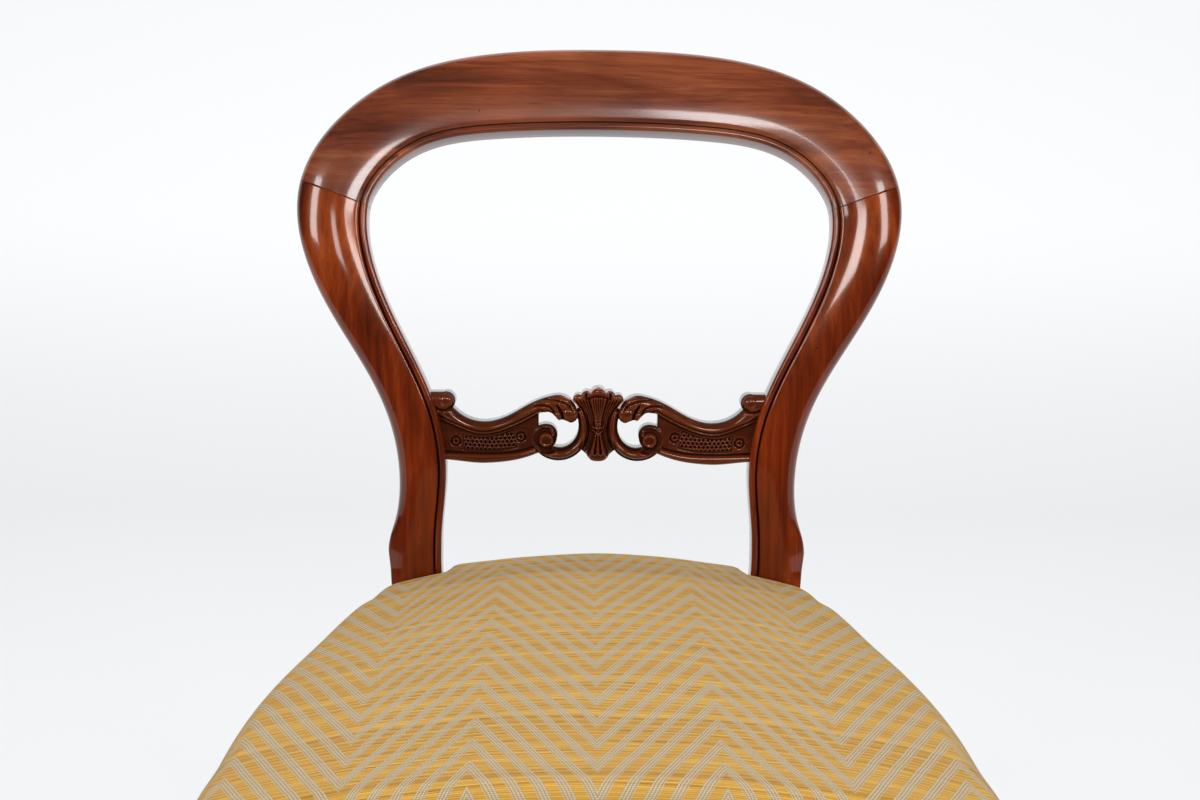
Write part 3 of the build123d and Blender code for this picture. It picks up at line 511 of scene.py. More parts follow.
crest_z = TOTAL_HEIGHT + CREST_LEAN - CREST_WIDTH / 2
shoulder_x, shoulder_z, shoulder_width = SHOULDER
waist_x, waist_z, waist_width = WAIST
knuckle_x, knuckle_z, knuckle_width = KNUCKLE
joint_station = (shoulder_x - 0.6, shoulder_z + 15, shoulder_width + 1.6)
stations = [
    (0, crest_z, CREST_WIDTH),
    (shoulder_x - 116, crest_z - 3.3, CREST_WIDTH - 1.2),
    (shoulder_x - 57, crest_z - 16.7, CREST_WIDTH - 5),
    (shoulder_x - 24, shoulder_z + 53.6, shoulder_width + 2.6),
    joint_station,
    (shoulder_x - 2.2, shoulder_z - 20, shoulder_width - 3.2),
    (waist_x + 42.2, waist_z + 112.4, ARM_WIDTH + 3.2),
    (waist_x + 22.3, waist_z + 76, ARM_WIDTH - 0.4),
    (waist_x + 7.1, waist_z + 40.7, waist_width + 0.8),
    WAIST,
    (knuckle_x - 2.4, knuckle_z + 18, knuckle_width - 3.4),
    KNUCKLE,
]
centre_line, station_at = spline(stations, (1, 0, 0), (0.05, -1, 0))
joint_at = station_at[stations.index(joint_station)]
knuckle_at = station_at[-1]


def rake(z):
    """How far the back's front face stands behind the posts' front face at height z."""
    rise = np.maximum(0.0, z - RAKE_START)
    return RAKE_RADIUS - np.sqrt(RAKE_RADIUS**2 - rise**2)


def rake_slope(z):
    rise = np.maximum(0.0, z - RAKE_START)
    return rise / np.sqrt(RAKE_RADIUS**2 - rise**2)


def moulding(width, outer_round):
    """Outline of the moulded section, from the middle of its back round its inner side, bead, quirk,
    crowned face and outer round: points (across, backwards), and the recess of each, its share of
    painted shade."""
    inner, outer = -width / 2, width / 2
    bead_end = inner + BEAD
    face_start = bead_end + QUIRK_WIDTH
    middle = (face_start + outer - OUTER_ROUND) / 2
    half = middle - face_start
    radius = max(FACE_RADIUS, half**2 / (2 * FACE_CROWN))
    reach = (outer - outer_round - middle) / (radius - outer_round)
    turn = np.degrees(np.arcsin(np.clip(reach, 0, 0.9)))
    start = -np.degrees(np.arcsin(half / radius))
    face = arc((middle, radius), radius, 270 + start, 270 + turn, 16)
    round_centre = (outer - outer_round, radius - (radius - outer_round) * cos(radians(turn)))
    edge = face[0][1]
    bead_radius = BEAD / 2
    back = FRAME_DEPTH - BACK_ROUND
    inner_back = arc((inner + BACK_ROUND, back), BACK_ROUND, 90, 180, 8)
    outer_back = arc((outer - BACK_ROUND, back), BACK_ROUND, 0, 90, 8)
    rounding = arc(round_centre, outer_round, 270 + turn, 360, 14)[1:]
    bead = arc((inner + bead_radius, BEAD_SUNK + bead_radius), bead_radius, 180, 350, 12)
    quirk = [(bead_end - 0.15, QUIRK_DEPTH), (bead_end + 0.25, QUIRK_DEPTH + 0.1)]
    quirk += [(face_start - 0.45, edge + 1.3), (face_start - 0.15, edge + 0.3)]
    points = np.concatenate([[(0, FRAME_DEPTH)], inner_back, bead, quirk, face, rounding, outer_back])
    # Painted shade in the quirk and on the edges beside it
    recess = np.concatenate([np.zeros(19), [0.25, 0.75, 1, 1, 0.85, 0.25, 0.03], np.zeros(36)])
    return points, recess


def block_section(width, depth, radius):
    """Square section with eased edges, with as many points as the moulded one, in the same order."""
    inner, outer = -width / 2, width / 2
    return np.concatenate(
        [
            [(0, depth)],
            arc((inner + radius, depth - radius), radius, 90, 180, 8),
            arc((inner + radius, radius), radius, 180, 270, 12),
            np.stack([np.linspace(inner + radius + 0.5, inner + radius + 2, 4), np.zeros(4)], 1),
            np.stack([np.linspace(inner + radius + 3, outer - radius - 1, 16), np.zeros(16)], 1),
            arc((outer - radius, radius), radius, 270, 360, 14)[1:],
            arc((outer - radius, depth - radius), radius, 0, 90, 8),
        ]
    )


def rib_rings(lengths):
    """Rings of points of the moulded frame's right side, and each point's recess, its share of painted
    shade in the quirk. A fine groove runs round it at the shoulder joint, and is drawn as a dark line."""
    rings, recesses = [], []
    for length, (x, z, width), way in zip(lengths, *centre_line(lengths)):
        outward = np.array([-way[1], way[0]]) / np.hypot(way[0], way[1])
        slant = radians(JOINT_SLANT) * float(ease(1 - abs(length - joint_at) / JOINT_REACH))
        stopped = float(ease((STOP_TOP - z) / (STOP_TOP - STOP_BOTTOM)))
        section, recess = moulding(width, OUTER_ROUND + (STOPPED_ROUND - OUTER_ROUND) * stopped)
        shrink = max(0.0, 1 - abs(length - joint_at) / JOINT_GROOVE)
        inward = 1 - 2 * JOINT_GROOVE * shrink / width
        across = section[:, 0] / cos(slant) * inward
        backwards = FRAME_DEPTH / 2 + (section[:, 1] - FRAME_DEPTH / 2) * inward
        flat_x = x + across * (outward[0] * cos(slant) - outward[1] * sin(slant))
        flat_z = z + across * (outward[0] * sin(slant) + outward[1] * cos(slant))
        slope = rake_slope(flat_z)
        lean = 1 / np.sqrt(1 + slope**2)
        y = POST_Y + rake(flat_z) + backwards * lean
        rings.append(np.stack([flat_x, y, flat_z - backwards * slope * lean], 1))
        recesses.append(np.maximum(recess, ease(shrink) * 0.8))
    return np.array(rings), np.array(recesses)


joint_steps = np.array([0.0, 0.1, 0.2, 0.35, 0.8, 1.5])
crest_lengths = np.concatenate([joint_at - joint_steps, np.arange(joint_at - 3, 0, -1.6), [0.0]])
rings, recess = rib_rings(crest_lengths)
crest_points = np.concatenate([rings, mirrored(rings[:-1][::-1])])
around = crest_points.shape[1]
make_piece(
    "crest_rail_moulded",
    crest_points.reshape(-1, 3),
    tube_faces(len(crest_points), around),
    mahogany["crest"],
    ["crest_rail"],
    "mahogany",
    recess=np.concatenate([recess, recess[:-1][::-1]]).ravel(),
)


def sweep_back(z):
    """How far the rear leg stands behind its top at height z."""
    radius = (REAR_LEG_TOP**2 + REAR_FOOT_SWEEP**2) / (2 * REAR_FOOT_SWEEP)
    drop = np.maximum(0.0, REAR_LEG_TOP - z)
    return radius - np.sqrt(radius**2 - drop**2)


post_steps = [joint_at + joint_steps, np.arange(joint_at + 3, knuckle_at, 1.5), [knuckle_at]]
post_rings, post_recess = (list(part) for part in rib_rings(np.concatenate(post_steps)))
knuckle_section, knuckle_recess = moulding(knuckle_width, STOPPED_ROUND)
lower_heights = (
    np.arange(knuckle_z - 1.5, SQUARE_TOP, -1.5),
    np.linspace(SQUARE_TOP, REAR_LEG_TOP, 12),
    np.linspace(REAR_LEG_TOP - 6, 3, 56),
    [1.5, 0.6, 0.0],
)
for z in np.concatenate(lower_heights):
    below = float(np.clip((knuckle_z - z) / (knuckle_z - SQUARE_TOP), 0, 1))
    taper = max(0.0, (REAR_LEG_TOP - z) / REAR_LEG_TOP)
    width = knuckle_width + (POST_OUTER_X - POST_INNER_X - knuckle_width) * below
    width += (REAR_FOOT - width) * taper
    middle = knuckle_x + ((POST_INNER_X + POST_OUTER_X) / 2 - knuckle_x) * below
    middle += (REAR_FOOT_X - middle) * taper
    worn = 1.2 * float(ease((3 - z) / 3))
    square = block_section(width - 2 * worn, FRAME_DEPTH - 2 * worn, BLOCK_ROUND)
    moulded = knuckle_section * np.array([width / knuckle_width, 1])
    share = float(ease((below - 0.45) / 0.5))
    section = moulded + (square - moulded) * share
    y = POST_Y + sweep_back(z) + worn + section[:, 1]
    post_rings.append(np.stack([middle + section[:, 0], y, np.full(len(section), z)], 1))
    # The quirk's painted shade fades out as the section turns square
    post_recess.append(knuckle_recess * (1 - share))
post_faces = tube_faces(len(post_rings), around)
post_points, post_recess = np.concatenate(post_rings), np.concatenate(post_recess)
make_pair("{}_back_post_moulded", post_points, post_faces, mahogany["post"], "{}_back_post", post_recess)

# --- The carved mid rail: a relief worked out on a fine grid over its outline ---
# Points are (distance from the middle, height over the rail's lowest edge), for the right half.


def join(*paths):
    """Closed outline from paths that follow one another."""
    return np.concatenate([np.asarray(p, float)[: -1 if len(p) > 2 else None] for p in paths])


def distance(path, grid, closed=False):
    """Distance from each grid point to a path, and the share of the path's length there."""
    path = np.asarray(path, float)
    ends = np.roll(path, -1, axis=0) if closed else path[1:]
    starts = path if closed else path[:-1]
    lengths = np.linalg.norm(ends - starts, axis=1)
    reached = np.concatenate(([0.0], np.cumsum(lengths)))
    best = np.full(len(grid), 1e9)
    share = np.zeros(len(grid))
    for start, end, length, before in zip(starts, ends, lengths, reached):
        if length < 1e-9:
            continue
        way = (end - start) / length
        off = grid - start
        t = np.clip(off @ way, 0, length)
        gap = np.hypot(off[:, 0] - t * way[0], off[:, 1] - t * way[1])
        nearer = gap < best
        best = np.where(nearer, gap, best)
        share = np.where(nearer, (before + t) / reached[-1], share)
    return best, share


def depth_inside(outline, grid):
    """Distance inside a closed outline, and negative outside it."""
    gap, _ = distance(outline, grid, closed=True)
    inside = np.zeros(len(grid), bool)
    for (ax, ay), (bx, by) in zip(outline, np.roll(outline, -1, axis=0)):
        if ay == by:
            continue
        crosses = (ay > grid[:, 1]) != (by > grid[:, 1])
        inside ^= crosses & (grid[:, 0] < (bx - ax) * (grid[:, 1] - ay) / (by - ay) + ax)
    return np.where(inside, gap, -gap)


def dome(depth, reach):
    """Rounded rise from an edge to full height at `reach` inside it."""
    t = np.clip(depth / reach, 0, 1)
    return np.sqrt(1 - (1 - t) ** 2)


def ridge(gap, width):
    """Rounded line of height 1 along a path."""
    return np.exp(-((gap / width) ** 2))


half_columns = int(round(RAIL_REACH / CARVING_STEP)) + 1
rows = int(round((RAIL_HEIGHT + 3) / CARVING_STEP)) + 1
columns_x = np.arange(half_columns) * CARVING_STEP
rows_h = np.arange(rows) * CARVING_STEP - 1.5
grid = np.stack(np.meshgrid(columns_x, rows_h), -1).reshape(-1, 2)
gx, gh = grid[:, 0], grid[:, 1]
RAIL_END = RAIL_REACH + 2


def gap_to(points, count=40):
    """Distance from each grid point to a smooth line through points."""
    return distance(smooth_path(points, count), grid)[0]


def from_point(x, h):
    return np.hypot(gx - x, gh - h)


scroll_top = [(107.4, 41.5), (98.5, 34.3), (85.4, 30.8), (68.3, 34.6), (48.6, 45.4), (33.8, 50.5)]
scroll_under = smooth_path([(42.7, 38.1), (61.7, 28.0), (88, 21.8), (103, 26.5), (RAIL_END, 36)])
upper_scroll = join(
    [(RAIL_END, 36), (RAIL_END, 52.6)],
    [(RAIL_END, 52.6), (114.9, 52.6)],
    arc_through((114.9, 52.6), (106.5, 49.5), (107.4, 41.5), 18),
    smooth_path(scroll_top),
    arc_through((33.8, 50.5), (20, 47.3), (15.3, 37.5)),
    arc_through((15.3, 37.5), (16.8, 32.3), (20.6, 30.8), 10),
    arc_through((20.6, 30.8), (25.5, 32.9), (29.1, 32.4), 8),
    arc_through((29.1, 32.4), (32.2, 36.4), (37.0, 38.6), 8),
    [(37.0, 38.6), (42.7, 38.1)],
    scroll_under,
)
bottom_edge = smooth_path([(RAIL_END, 3.4), (101, 1.2), (88, 0), (74.8, 0.5), (61.6, 2.3), (44, 8)])
panel = join(
    [(44, 8), (44, 37), (62, 30), (88, 24), (103, 28), (RAIL_END, 38), (RAIL_END, 3.4)], bottom_edge
)
reed_top = smooth_path([(46, 13), (55, 10.1), (68, 7.9), (84.7, 7.4), (98, 7.7), (RAIL_END, 9.4)])
reed = join([(44, 8), (46, 13)], reed_top, [(RAIL_END, 9.4), (RAIL_END, 3.4)], bottom_edge)
scroll_round = [(12.5, 43), (7.4, 30.9), (7.3, 21.6), (14.4, 8.1), (28.9, 2.3), (44.1, 8.2)]
scroll_round.append((48.8, 19.9))
lower_scroll = join(
    smooth_path(scroll_round, 60),
    arc_through((48.8, 19.9), (44.5, 27.5), (36.5, 29.2)),
    arc_through((36.5, 29.2), (30.6, 24.5), (30.4, 19)),
    arc_through((30.4, 19), (31.3, 15.6), (33.4, 13.0), 8),
    smooth_path([(33.4, 13.0), (25, 12.4), (16.8, 19), (14.4, 28), (17.5, 40)]),
    [(17.5, 40), (12.5, 43)],
)
shell_side = [
    arc_through((0, RAIL_HEIGHT), (3.2, 56.4), (5.6, 53.6), 8),
    arc_through((5.6, 53.6), (10.0, 54.2), (12.6, 51.2), 8),
    arc_through((12.6, 51.2), (17.0, 51.3), (18.7, 47.6), 8),
    [(18.7, 47.6), (12.6, 40.5)],
    arc_through((12.6, 40.5), (9.4, 25), (12.8, 11.2), 14),
    [(12.8, 11.2), (8.4, 7.6)],
    arc_through((8.4, 7.6), (5.6, 3.8), (0, 2.6), 10),
]
right_shell = join(*shell_side)
palmette = np.concatenate([right_shell, (right_shell * np.array([-1, 1]))[::-1]])

scroll_depth = depth_inside(upper_scroll, grid)
panel_depth = depth_inside(panel, grid)
reed_depth = depth_inside(reed, grid)
curl_depth = depth_inside(lower_scroll, grid)
shell_depth = depth_inside(palmette, grid)
volute_x, volute_h, volute_radius = 38.1, 18.0, 5.9
from_volute = from_point(volute_x, volute_h)

LOW = -9.0
relief = np.full(len(grid), LOW)


def lay(height, depth):
    """Lays a form on the relief wherever its own outline covers the grid."""
    global relief
    relief = np.where(depth > -CARVING_STEP * 1.5, np.maximum(relief, height), relief)


# Sunk panel with its punched ground and the small rings at its ends
PIT_PITCH, PIT_ROW = 3.2, 2.75
pit_h = (gh - 11.4 - 1.2 * ((gx - 79) / 20) ** 2) / PIT_ROW
pit_row = np.floor(pit_h)
pit_x = (gx + np.where(pit_row % 2 == 0, 0, PIT_PITCH / 2)) / PIT_PITCH
in_cell = np.hypot((pit_x - np.floor(pit_x) - 0.5) * PIT_PITCH, (pit_h - pit_row - 0.5) * PIT_ROW)
ground = join(
    [(99, 9.8), (100, 21.6)],
    smooth_path([(100, 21.6), (88, 19.0), (76, 20.2), (62.5, 25.2)], 16),
    [(62.5, 25.2), (59.6, 12.4)],
    smooth_path([(59.6, 12.4), (72, 9.9), (86, 9.2), (99, 9.8)], 16),
)
ground_depth = depth_inside(ground, grid)
punched = ease((ground_depth - 0.3) / 0.6)
sunk = -2.9 - 0.35 * ease((ground_depth + 0.2) / 0.5) - punched * 1.25 * ease((1.3 - in_cell) / 0.9)
sunk -= 0.7 * ridge(ground_depth, 0.5)
for ring_x, ring_h in ((105.0, 16.4), (57.0, 20.0)):
    off = from_point(ring_x, ring_h)
    sunk = sunk - 1.2 * ridge(off - 3.3, 0.6) - 1.2 * ridge(off, 0.9) + 0.5 * ridge(off - 1.9, 0.7)
lay(sunk, panel_depth)

# Reed along the lower edge, with a fine groove over it
lay(-3.3 + 2.7 * dome(reed_depth, 3.2), reed_depth)
groove = distance(reed_top, grid)[0]
relief = np.where(panel_depth > 0, relief - 0.55 * ridge(groove - 0.2, 0.5), relief)

# The S-scroll: a rounded band with a thin raised line along its lower edge, and its curled knob
band = -3.4 + 3.5 * dome(scroll_depth, 5.6)
under_gap = distance(scroll_under, grid)[0]
band = band + 0.75 * ridge(under_gap - 0.9, 0.6) - 0.7 * ridge(under_gap - 2.4, 0.65)
band = np.maximum(band, -3.2 + 4.0 * dome(6.4 - from_point(112.3, 46.3), 5.0))
band -= 1.5 * ridge(np.hypot(gx - 118.5, (gh - 33.5) / 1.3), 5.5)
band -= 1.2 * ridge(gap_to([(107.2, 44.5), (110.2, 40.8), (114.5, 39.6), (120.0, 41.5)], 24), 0.9)

# Its inner end: a leaf with two lobes and a deep notch between them
for lobe_x, lobe_h, radius in ((21.0, 37.6, 6.9), (29.6, 36.8, 4.4), (25.5, 44.8, 6.4)):
    band = np.maximum(band, -2.8 + 3.7 * dome(radius - from_point(lobe_x, lobe_h), radius * 0.85))
for vein, count, cut in (
    ([(31.5, 46.0), (30.0, 43.5), (27.2, 38.5), (25.6, 32.0)], 30, 2.1),
    ([(52, 42.0), (42, 44.0), (35, 42.0), (32.4, 36.0)], 24, 1.3),
    ([(46, 47.0), (34, 48.0), (24, 45.4), (17.8, 39.0)], 30, 0.9),
):
    gap, along = distance(smooth_path(vein, count), grid)
    band -= cut * ridge(gap, 0.75) * ease(along * 3) * ease((1 - along) * 9)
lay(band, scroll_depth)

# The C-scroll: a broad band with a fine raised edge, and its volute, a disc in a turning hollow that
# joins the band's end
curl = -3.2 + 3.3 * dome(curl_depth - 1.3, 4.2) + 1.1 * ridge(curl_depth - 0.5, 0.6)
joined = ridge(np.degrees(np.arctan2(gh - volute_h, gx - volute_x)) - 142, 24)
hollow = -3.1 + 2.9 * ridge(curl_depth - 0.6, 1.0) + 1.0 * ease((from_volute - 8.4) / 2.4)
near_volute = ease((11.6 - from_volute) / 1.6) * (1 - 0.85 * joined)
lay(curl * (1 - near_volute) + np.minimum(curl, hollow) * near_volute, curl_depth)
disc = -3.0 + 3.3 * dome(volute_radius - from_volute, 2.2) + 0.25 * ridge(from_volute - 4.1, 0.7)
lay(disc, volute_radius - from_volute)

# The palmette: its ground, and leaves at both sides whose veins sweep in to the waist and out again
shell = -1.9 + 1.5 * dome(shell_depth + 0.3, 2.6)
vein_heights = ((48.6, 41.2, 34.0, 28.6, 21.0, 14.5, 9.0), (49.8, 43.4, 35.5, 29.5, 22.6, 14.5, 7.2))
vein_outer = np.stack([(17.4, 11.9, 8.9, 8.0, 8.6, 10.2, 12.6), vein_heights[0]], 1)
vein_inner = np.stack([(7.4, 5.5, 3.4, 3.0, 3.2, 5.2, 7.4), vein_heights[1]], 1)
for share in (0.0, 0.27, 0.52, 0.76, 1.0):
    gap, along = distance(smooth_path(vein_outer * (1 - share) + vein_inner * share, 44), grid)
    shell -= 1.7 * ease((along + 0.02) * 9) * ease((1.02 - along) * 12) * ridge(gap, 0.6)
gap, along = distance(smooth_path(vein_outer + np.array([1.3, -0.2]), 44), grid)
shell += 0.7 * ridge(gap, 0.7) * ease(along * 6)
stem_half = np.interp(gh, [7.0, 22.5, 29.5, 34.5, 43.0, 49.5], [6.8, 2.4, 2.5, 2.7, 4.7, 6.6])
shell += ease((stem_half - gx) / 0.8) * 0.9
fan_half = np.interp(gh, [31, 49], [1.9, 5.2])
for share in (0.0, 0.36, 0.72):
    shell -= 1.3 * ridge(gx - share * fan_half, 0.42) * ease((gh - 30.5) / 3) * ease((50.5 - gh) / 2)
flute_half = np.interp(gh, [7.5, 22.5], [4.6, 1.5])
low_stem = ease((23.4 - gh) / 1.5) * ease((gh - 6.9) / 1.4)
for share in (0.0, 1.0):
    shell += 0.85 * ridge(gx - share * flute_half, 0.85) * low_stem
shell -= 1.3 * ridge(gx - 0.5 * flute_half, 0.46) * low_stem

# Its collar of two hanging bands with a bead, its domed cap and the drop at its foot
band_top = 26.9 + 2.5 * (gx / 4.8) ** 2
band_low = 23.6 + 3.6 * (gx / 4.6) ** 2
in_collar = ease((5.3 - gx) / 0.8)
between_bands = ease((band_top - gh) / 0.5) * ease((gh - band_low) / 0.5)
shell = np.where(in_collar > 0, shell - between_bands * in_collar * 0.9, shell)
bands = np.maximum(ridge(gh - band_top, 0.95), ridge(gh - band_low, 0.85))
shell = np.maximum(shell, -2.4 + (3.4 * bands) * in_collar)
shell = np.maximum(shell, -2.2 + 2.6 * dome(1.15 - from_point(0, 25.3), 1.1))
lay(shell, shell_depth)
cap = [
    arc_through((8.2, 49.0), (6.6, 55.6), (0, 57.2), 12),
    arc_through((0, 57.2), (-6.6, 55.6), (-8.2, 49.0), 12)[1:],
    arc_through((-8.2, 49.0), (0, 51.4), (8.2, 49.0), 12)[1:-1],
]
cap_depth = depth_inside(np.concatenate(cap), grid)
under_cap = (cap_depth < 0) & (cap_depth > -1.2) & (gh < 53) & (shell_depth > 0)
relief = np.where(under_cap, relief - 0.9, relief)
lay(np.where(cap_depth > 0, -1.4 + 3.2 * dome(cap_depth, 2.7), LOW), shell_depth)
drop = [
    [(7.0, 6.8)],
    arc_through((7.0, 6.8), (4.6, 3.5), (0, 2.6), 10)[1:],
    arc_through((0, 2.6), (-4.6, 3.5), (-7.0, 6.8), 10)[1:],
]
drop_depth = depth_inside(np.concatenate(drop), grid)
lay(np.where(drop_depth > 0, -2.0 + 2.3 * dome(drop_depth, 1.9), LOW), shell_depth)

# A groove where the C-scroll meets the palmette, which the painted shade in hollows draws as a dark line
relief = relief - 1.5 * (ridge(curl_depth, 0.55) * (shell_depth > 0.4))

form_depths = [scroll_depth, panel_depth, curl_depth, shell_depth, volute_radius - from_volute]
edge_depth = np.maximum.reduce(form_depths)
relief = np.maximum(relief * RELIEF_SCALE, DEEPEST) - 1.1 * (1 - dome(edge_depth + 0.3, 1.2))
fields = (edge_depth, relief, gx, gh)
edge_depth, relief, grid_x, grid_h = (field.reshape(rows, half_columns) for field in fields)


def softened(field):
    """Field averaged with its neighbours."""
    wide = np.pad(field, 1, mode="edge")
    beside = wide[:-2, 1:-1] + wide[2:, 1:-1] + wide[1:-1, :-2] + wide[1:-1, 2:]
    return (wide[1:-1, 1:-1] * 4 + beside * 2) / 12


def blurred(field, width):
    """The half field averaged over a bell `width` millimetres wide, its mirror image beside it."""
    reach = int(3 * width / CARVING_STEP)
    bell = np.exp(-0.5 * (np.arange(-reach, reach + 1) * CARVING_STEP / width) ** 2)
    bell /= bell.sum()
    wide = np.concatenate([field[:, reach:0:-1], field, np.repeat(field[:, -1:], reach, 1)], axis=1)
    wide = np.apply_along_axis(lambda row: np.convolve(row, bell, "valid"), 1, wide)
    tall = np.pad(wide, ((reach, reach), (0, 0)), mode="edge")
    return np.apply_along_axis(lambda column: np.convolve(column, bell, "valid"), 0, tall)


relief = softened(relief)
# Painted shade and highlight: how far each point lies below the blurred relief round it (above 0, drawn
# dark) or stands over it (below 0, drawn warm)
filled = np.where(edge_depth > 0, relief, -2.4)
fine_hollow = (blurred(filled, 0.9) - relief) / 0.40
broad_hollow = (blurred(filled, 3.0) - relief - 0.1) / 1.7
painted_shade_and_highlight = np.clip(np.maximum(fine_hollow, broad_hollow), -1, 1)

slope_h, slope_x = np.gradient(edge_depth, CARVING_STEP)
steep = np.maximum(np.hypot(slope_x, slope_h), 0.5)
near = np.abs(edge_depth) < CARVING_STEP * 1.6
shift = np.where(near & (edge_depth < 0), -edge_depth, 0) / steep**2
place_x, place_h = grid_x + shift * slope_x, grid_h + shift * slope_h


def both_halves(field, odd=False):
    """Field over the whole rail from its right half."""
    left = field[:, :0:-1]
    return np.concatenate([-left if odd else left, field], axis=1)


place_x = both_halves(place_x, odd=True)
fields = (place_h, relief, painted_shade_and_highlight, edge_depth)
place_h, relief, painted_shade_and_highlight, edge_depth = (both_halves(field) for field in fields)
columns = place_x.shape[1]
inside = edge_depth > 0
quads = inside[:-1, :-1] | inside[1:, :-1] | inside[:-1, 1:] | inside[1:, 1:]
used = np.zeros_like(inside)
for down, right in ((0, 0), (1, 0), (0, 1), (1, 1)):
    used[down : rows - 1 + down, right : columns - 1 + right] |= quads
number = np.full(used.shape, -1)
number[used] = np.arange(used.sum())
lean = float(rake(RAIL_Z + RAIL_HEIGHT) - rake(RAIL_Z))
rail_up = np.array([0, lean, RAIL_HEIGHT]) / np.hypot(lean, RAIL_HEIGHT)
rail_front = np.array([0, -RAIL_HEIGHT, lean]) / np.hypot(lean, RAIL_HEIGHT)
rail_origin = np.array([0, POST_Y + float(rake(RAIL_Z)) + RAIL_SETBACK, RAIL_Z])
count = used.sum()
flat = np.stack([place_x[used], np.zeros(count), np.zeros(count)], 1)
flat = rail_origin + flat + place_h[used][:, None] * rail_up
front_points = flat + relief[used][:, None] * rail_front
back_points = flat - RAIL_DEPTH * rail_front
r, c = np.nonzero(quads)
front_faces = np.stack([number[r, c], number[r, c + 1], number[r + 1, c + 1], number[r + 1, c]], 1)
edges = {}
for face in front_faces.tolist():
    for start, end in zip(face, face[1:] + face[:1]):
        if not edges.pop((end, start), False):
            edges[start, end] = True
WALL_STEPS = 4
rim = sorted({v for edge in edges for v in edge})
rim_number = {v: i for i, v in enumerate(rim)}
rail_points = [front_points]
for share in np.arange(1, WALL_STEPS) / WALL_STEPS:
    rail_points.append(front_points[rim] * (1 - share) + back_points[rim] * share)
rail_points = np.concatenate([*rail_points, back_points])
back_first = len(rail_points) - count


def wall_vertex(step, v):
    """Number of the point behind the front's point v, at a step of the way to the back."""
    if step in (0, WALL_STEPS):
        return v + (back_first if step else 0)
    return count + (step - 1) * len(rim) + rim_number[v]


rail_faces = front_faces.tolist()
for start, end in edges:
    for step in range(WALL_STEPS):
        corners = ((step, end), (step, start), (step + 1, start), (step + 1, end))
        rail_faces.append([wall_vertex(*corner) for corner in corners])
rail_faces += (front_faces[:, ::-1] + back_first).tolist()
rail_recess = np.zeros(len(rail_points))
rail_recess[:count] = painted_shade_and_highlight[used]
make_piece(
    "carved_mid_rail_relief",
    rail_points,
    rail_faces,
    mahogany["carved"],
    ["carved_mid_rail"],
    "mahogany",
    recess=rail_recess,
)

# --- The seat: one closed form ---
# It goes from the crown over the rim and down the sides, turned in under the rails, then up round the
# seat frame and across over the hessian.


def resampled(path, count):
    """The path as evenly spaced points, without its last one."""
    path = np.asarray(path, float)
    return at_lengths(path, np.linspace(0, lengths_along(path)[-1], count, endpoint=False))


def smoothed_round(points, width):
    """Closed path with its corners rounded by a bell-shaped average, `width` points wide."""
    count = len(points)
    off = np.minimum(np.arange(count), count - np.arange(count))
    bell = np.exp(-0.5 * (off / width) ** 2)
    bell /= bell.sum()
    spectrum = np.fft.fft(bell)[:, None]
    return np.real(np.fft.ifft(np.fft.fft(points, axis=0) * spectrum, axis=0))


def seat_outline(swell):
    """Plan of the seat, from the frame's outside at swell 0 to the pad at its widest at swell 1, with
    its notches for the posts; Y is 0 at the posts' front. Every swell has the same points in order."""
    back = POST_OUTER_X + swell * OVERHANG_BACK
    middle = FRAME_MIDDLE_HALF + swell * OVERHANG_MIDDLE
    front = FRAME_FRONT_HALF + swell * OVERHANG_CORNER
    front_y = -FRAME_FRONT - swell * OVERHANG_FRONT
    corner = (front, front_y + FRONT_BOW)
    side = arc_through(corner, (middle, -SEAT_MIDDLE), (back, 0), 90)
    side = side[side[:, 1] < -36 * swell - 0.5]
    gap_x = POST_INNER_X - POST_GAP
    if swell > 0.3:
        corner_x = POST_OUTER_X - 3
        tuck = [side[-1], (back - 3.6 * swell, -19.0), (POST_OUTER_X + 9, -7.0), (corner_x, -POST_GAP)]
        tuck = smooth_path(tuck, 16)
    else:
        tuck = [side[-1], (POST_OUTER_X - 0.2, -POST_GAP)]
    half = [
        resampled(arc_through((0, front_y), (front / 2, front_y + FRONT_BOW * 0.235), corner, 40), 56),
        resampled(side, 96),
        resampled(tuck, 20),
        resampled([tuck[-1], (gap_x, -POST_GAP)], 14),
        resampled([(gap_x, -POST_GAP), (gap_x, SEAT_BACK - 5)], 10),
        resampled([(gap_x, SEAT_BACK - 5), (POST_INNER_X - 4, SEAT_BACK), (0, SEAT_BACK)], 40),
    ]
    half = np.concatenate(half + [[(0, SEAT_BACK)]])
    whole = np.concatenate([half, (half * np.array([-1, 1]))[-2:0:-1]])
    wide_round = smoothed_round(whole, 6.2 - 1.4 * swell)
    tight_round = smoothed_round(whole, 0.8)
    share = ease((-whole[:, 1] - 110) / 120)[:, None]
    return tight_round + (wide_round - tight_round) * share


def outward_normals(outline):
    """Unit normals of a closed plan."""
    way = np.roll(outline, -1, axis=0) - np.roll(outline, 1, axis=0)
    return np.stack([way[:, 1], -way[:, 0]], 1) / np.linalg.norm(way, axis=1)[:, None]


widest, narrow = seat_outline(1.0), seat_outline(0.0)
around_seat = len(widest)
centre = np.array([0.0, SEAT_CENTRE_Y])
normals, narrow_normals = outward_normals(widest), outward_normals(narrow)


def crown(points):
    """Height of the crowned top over a plan point."""
    flatter = CROWN_ACROSS + 260 * ease((-points[:, 1] - 90) / 220)
    across = flatter - np.sqrt(flatter**2 - points[:, 0] ** 2)
    along = CROWN_ALONG - np.sqrt(CROWN_ALONG**2 - (points[:, 1] - CROWN_MIDDLE_Y) ** 2)
    return CROWN_TOP - across - along


def near_post(points):
    """1 at a post's front face and 0 well away from it."""
    out = np.abs(points[:, 0]) - (POST_INNER_X + POST_OUTER_X) / 2
    off_x = np.maximum(out - 12.0, 0) * 1.5 + np.maximum(-out - 14.0, 0)
    return ease(1 - np.hypot(off_x, np.minimum(points[:, 1] + POST_GAP, 0)) / 46)


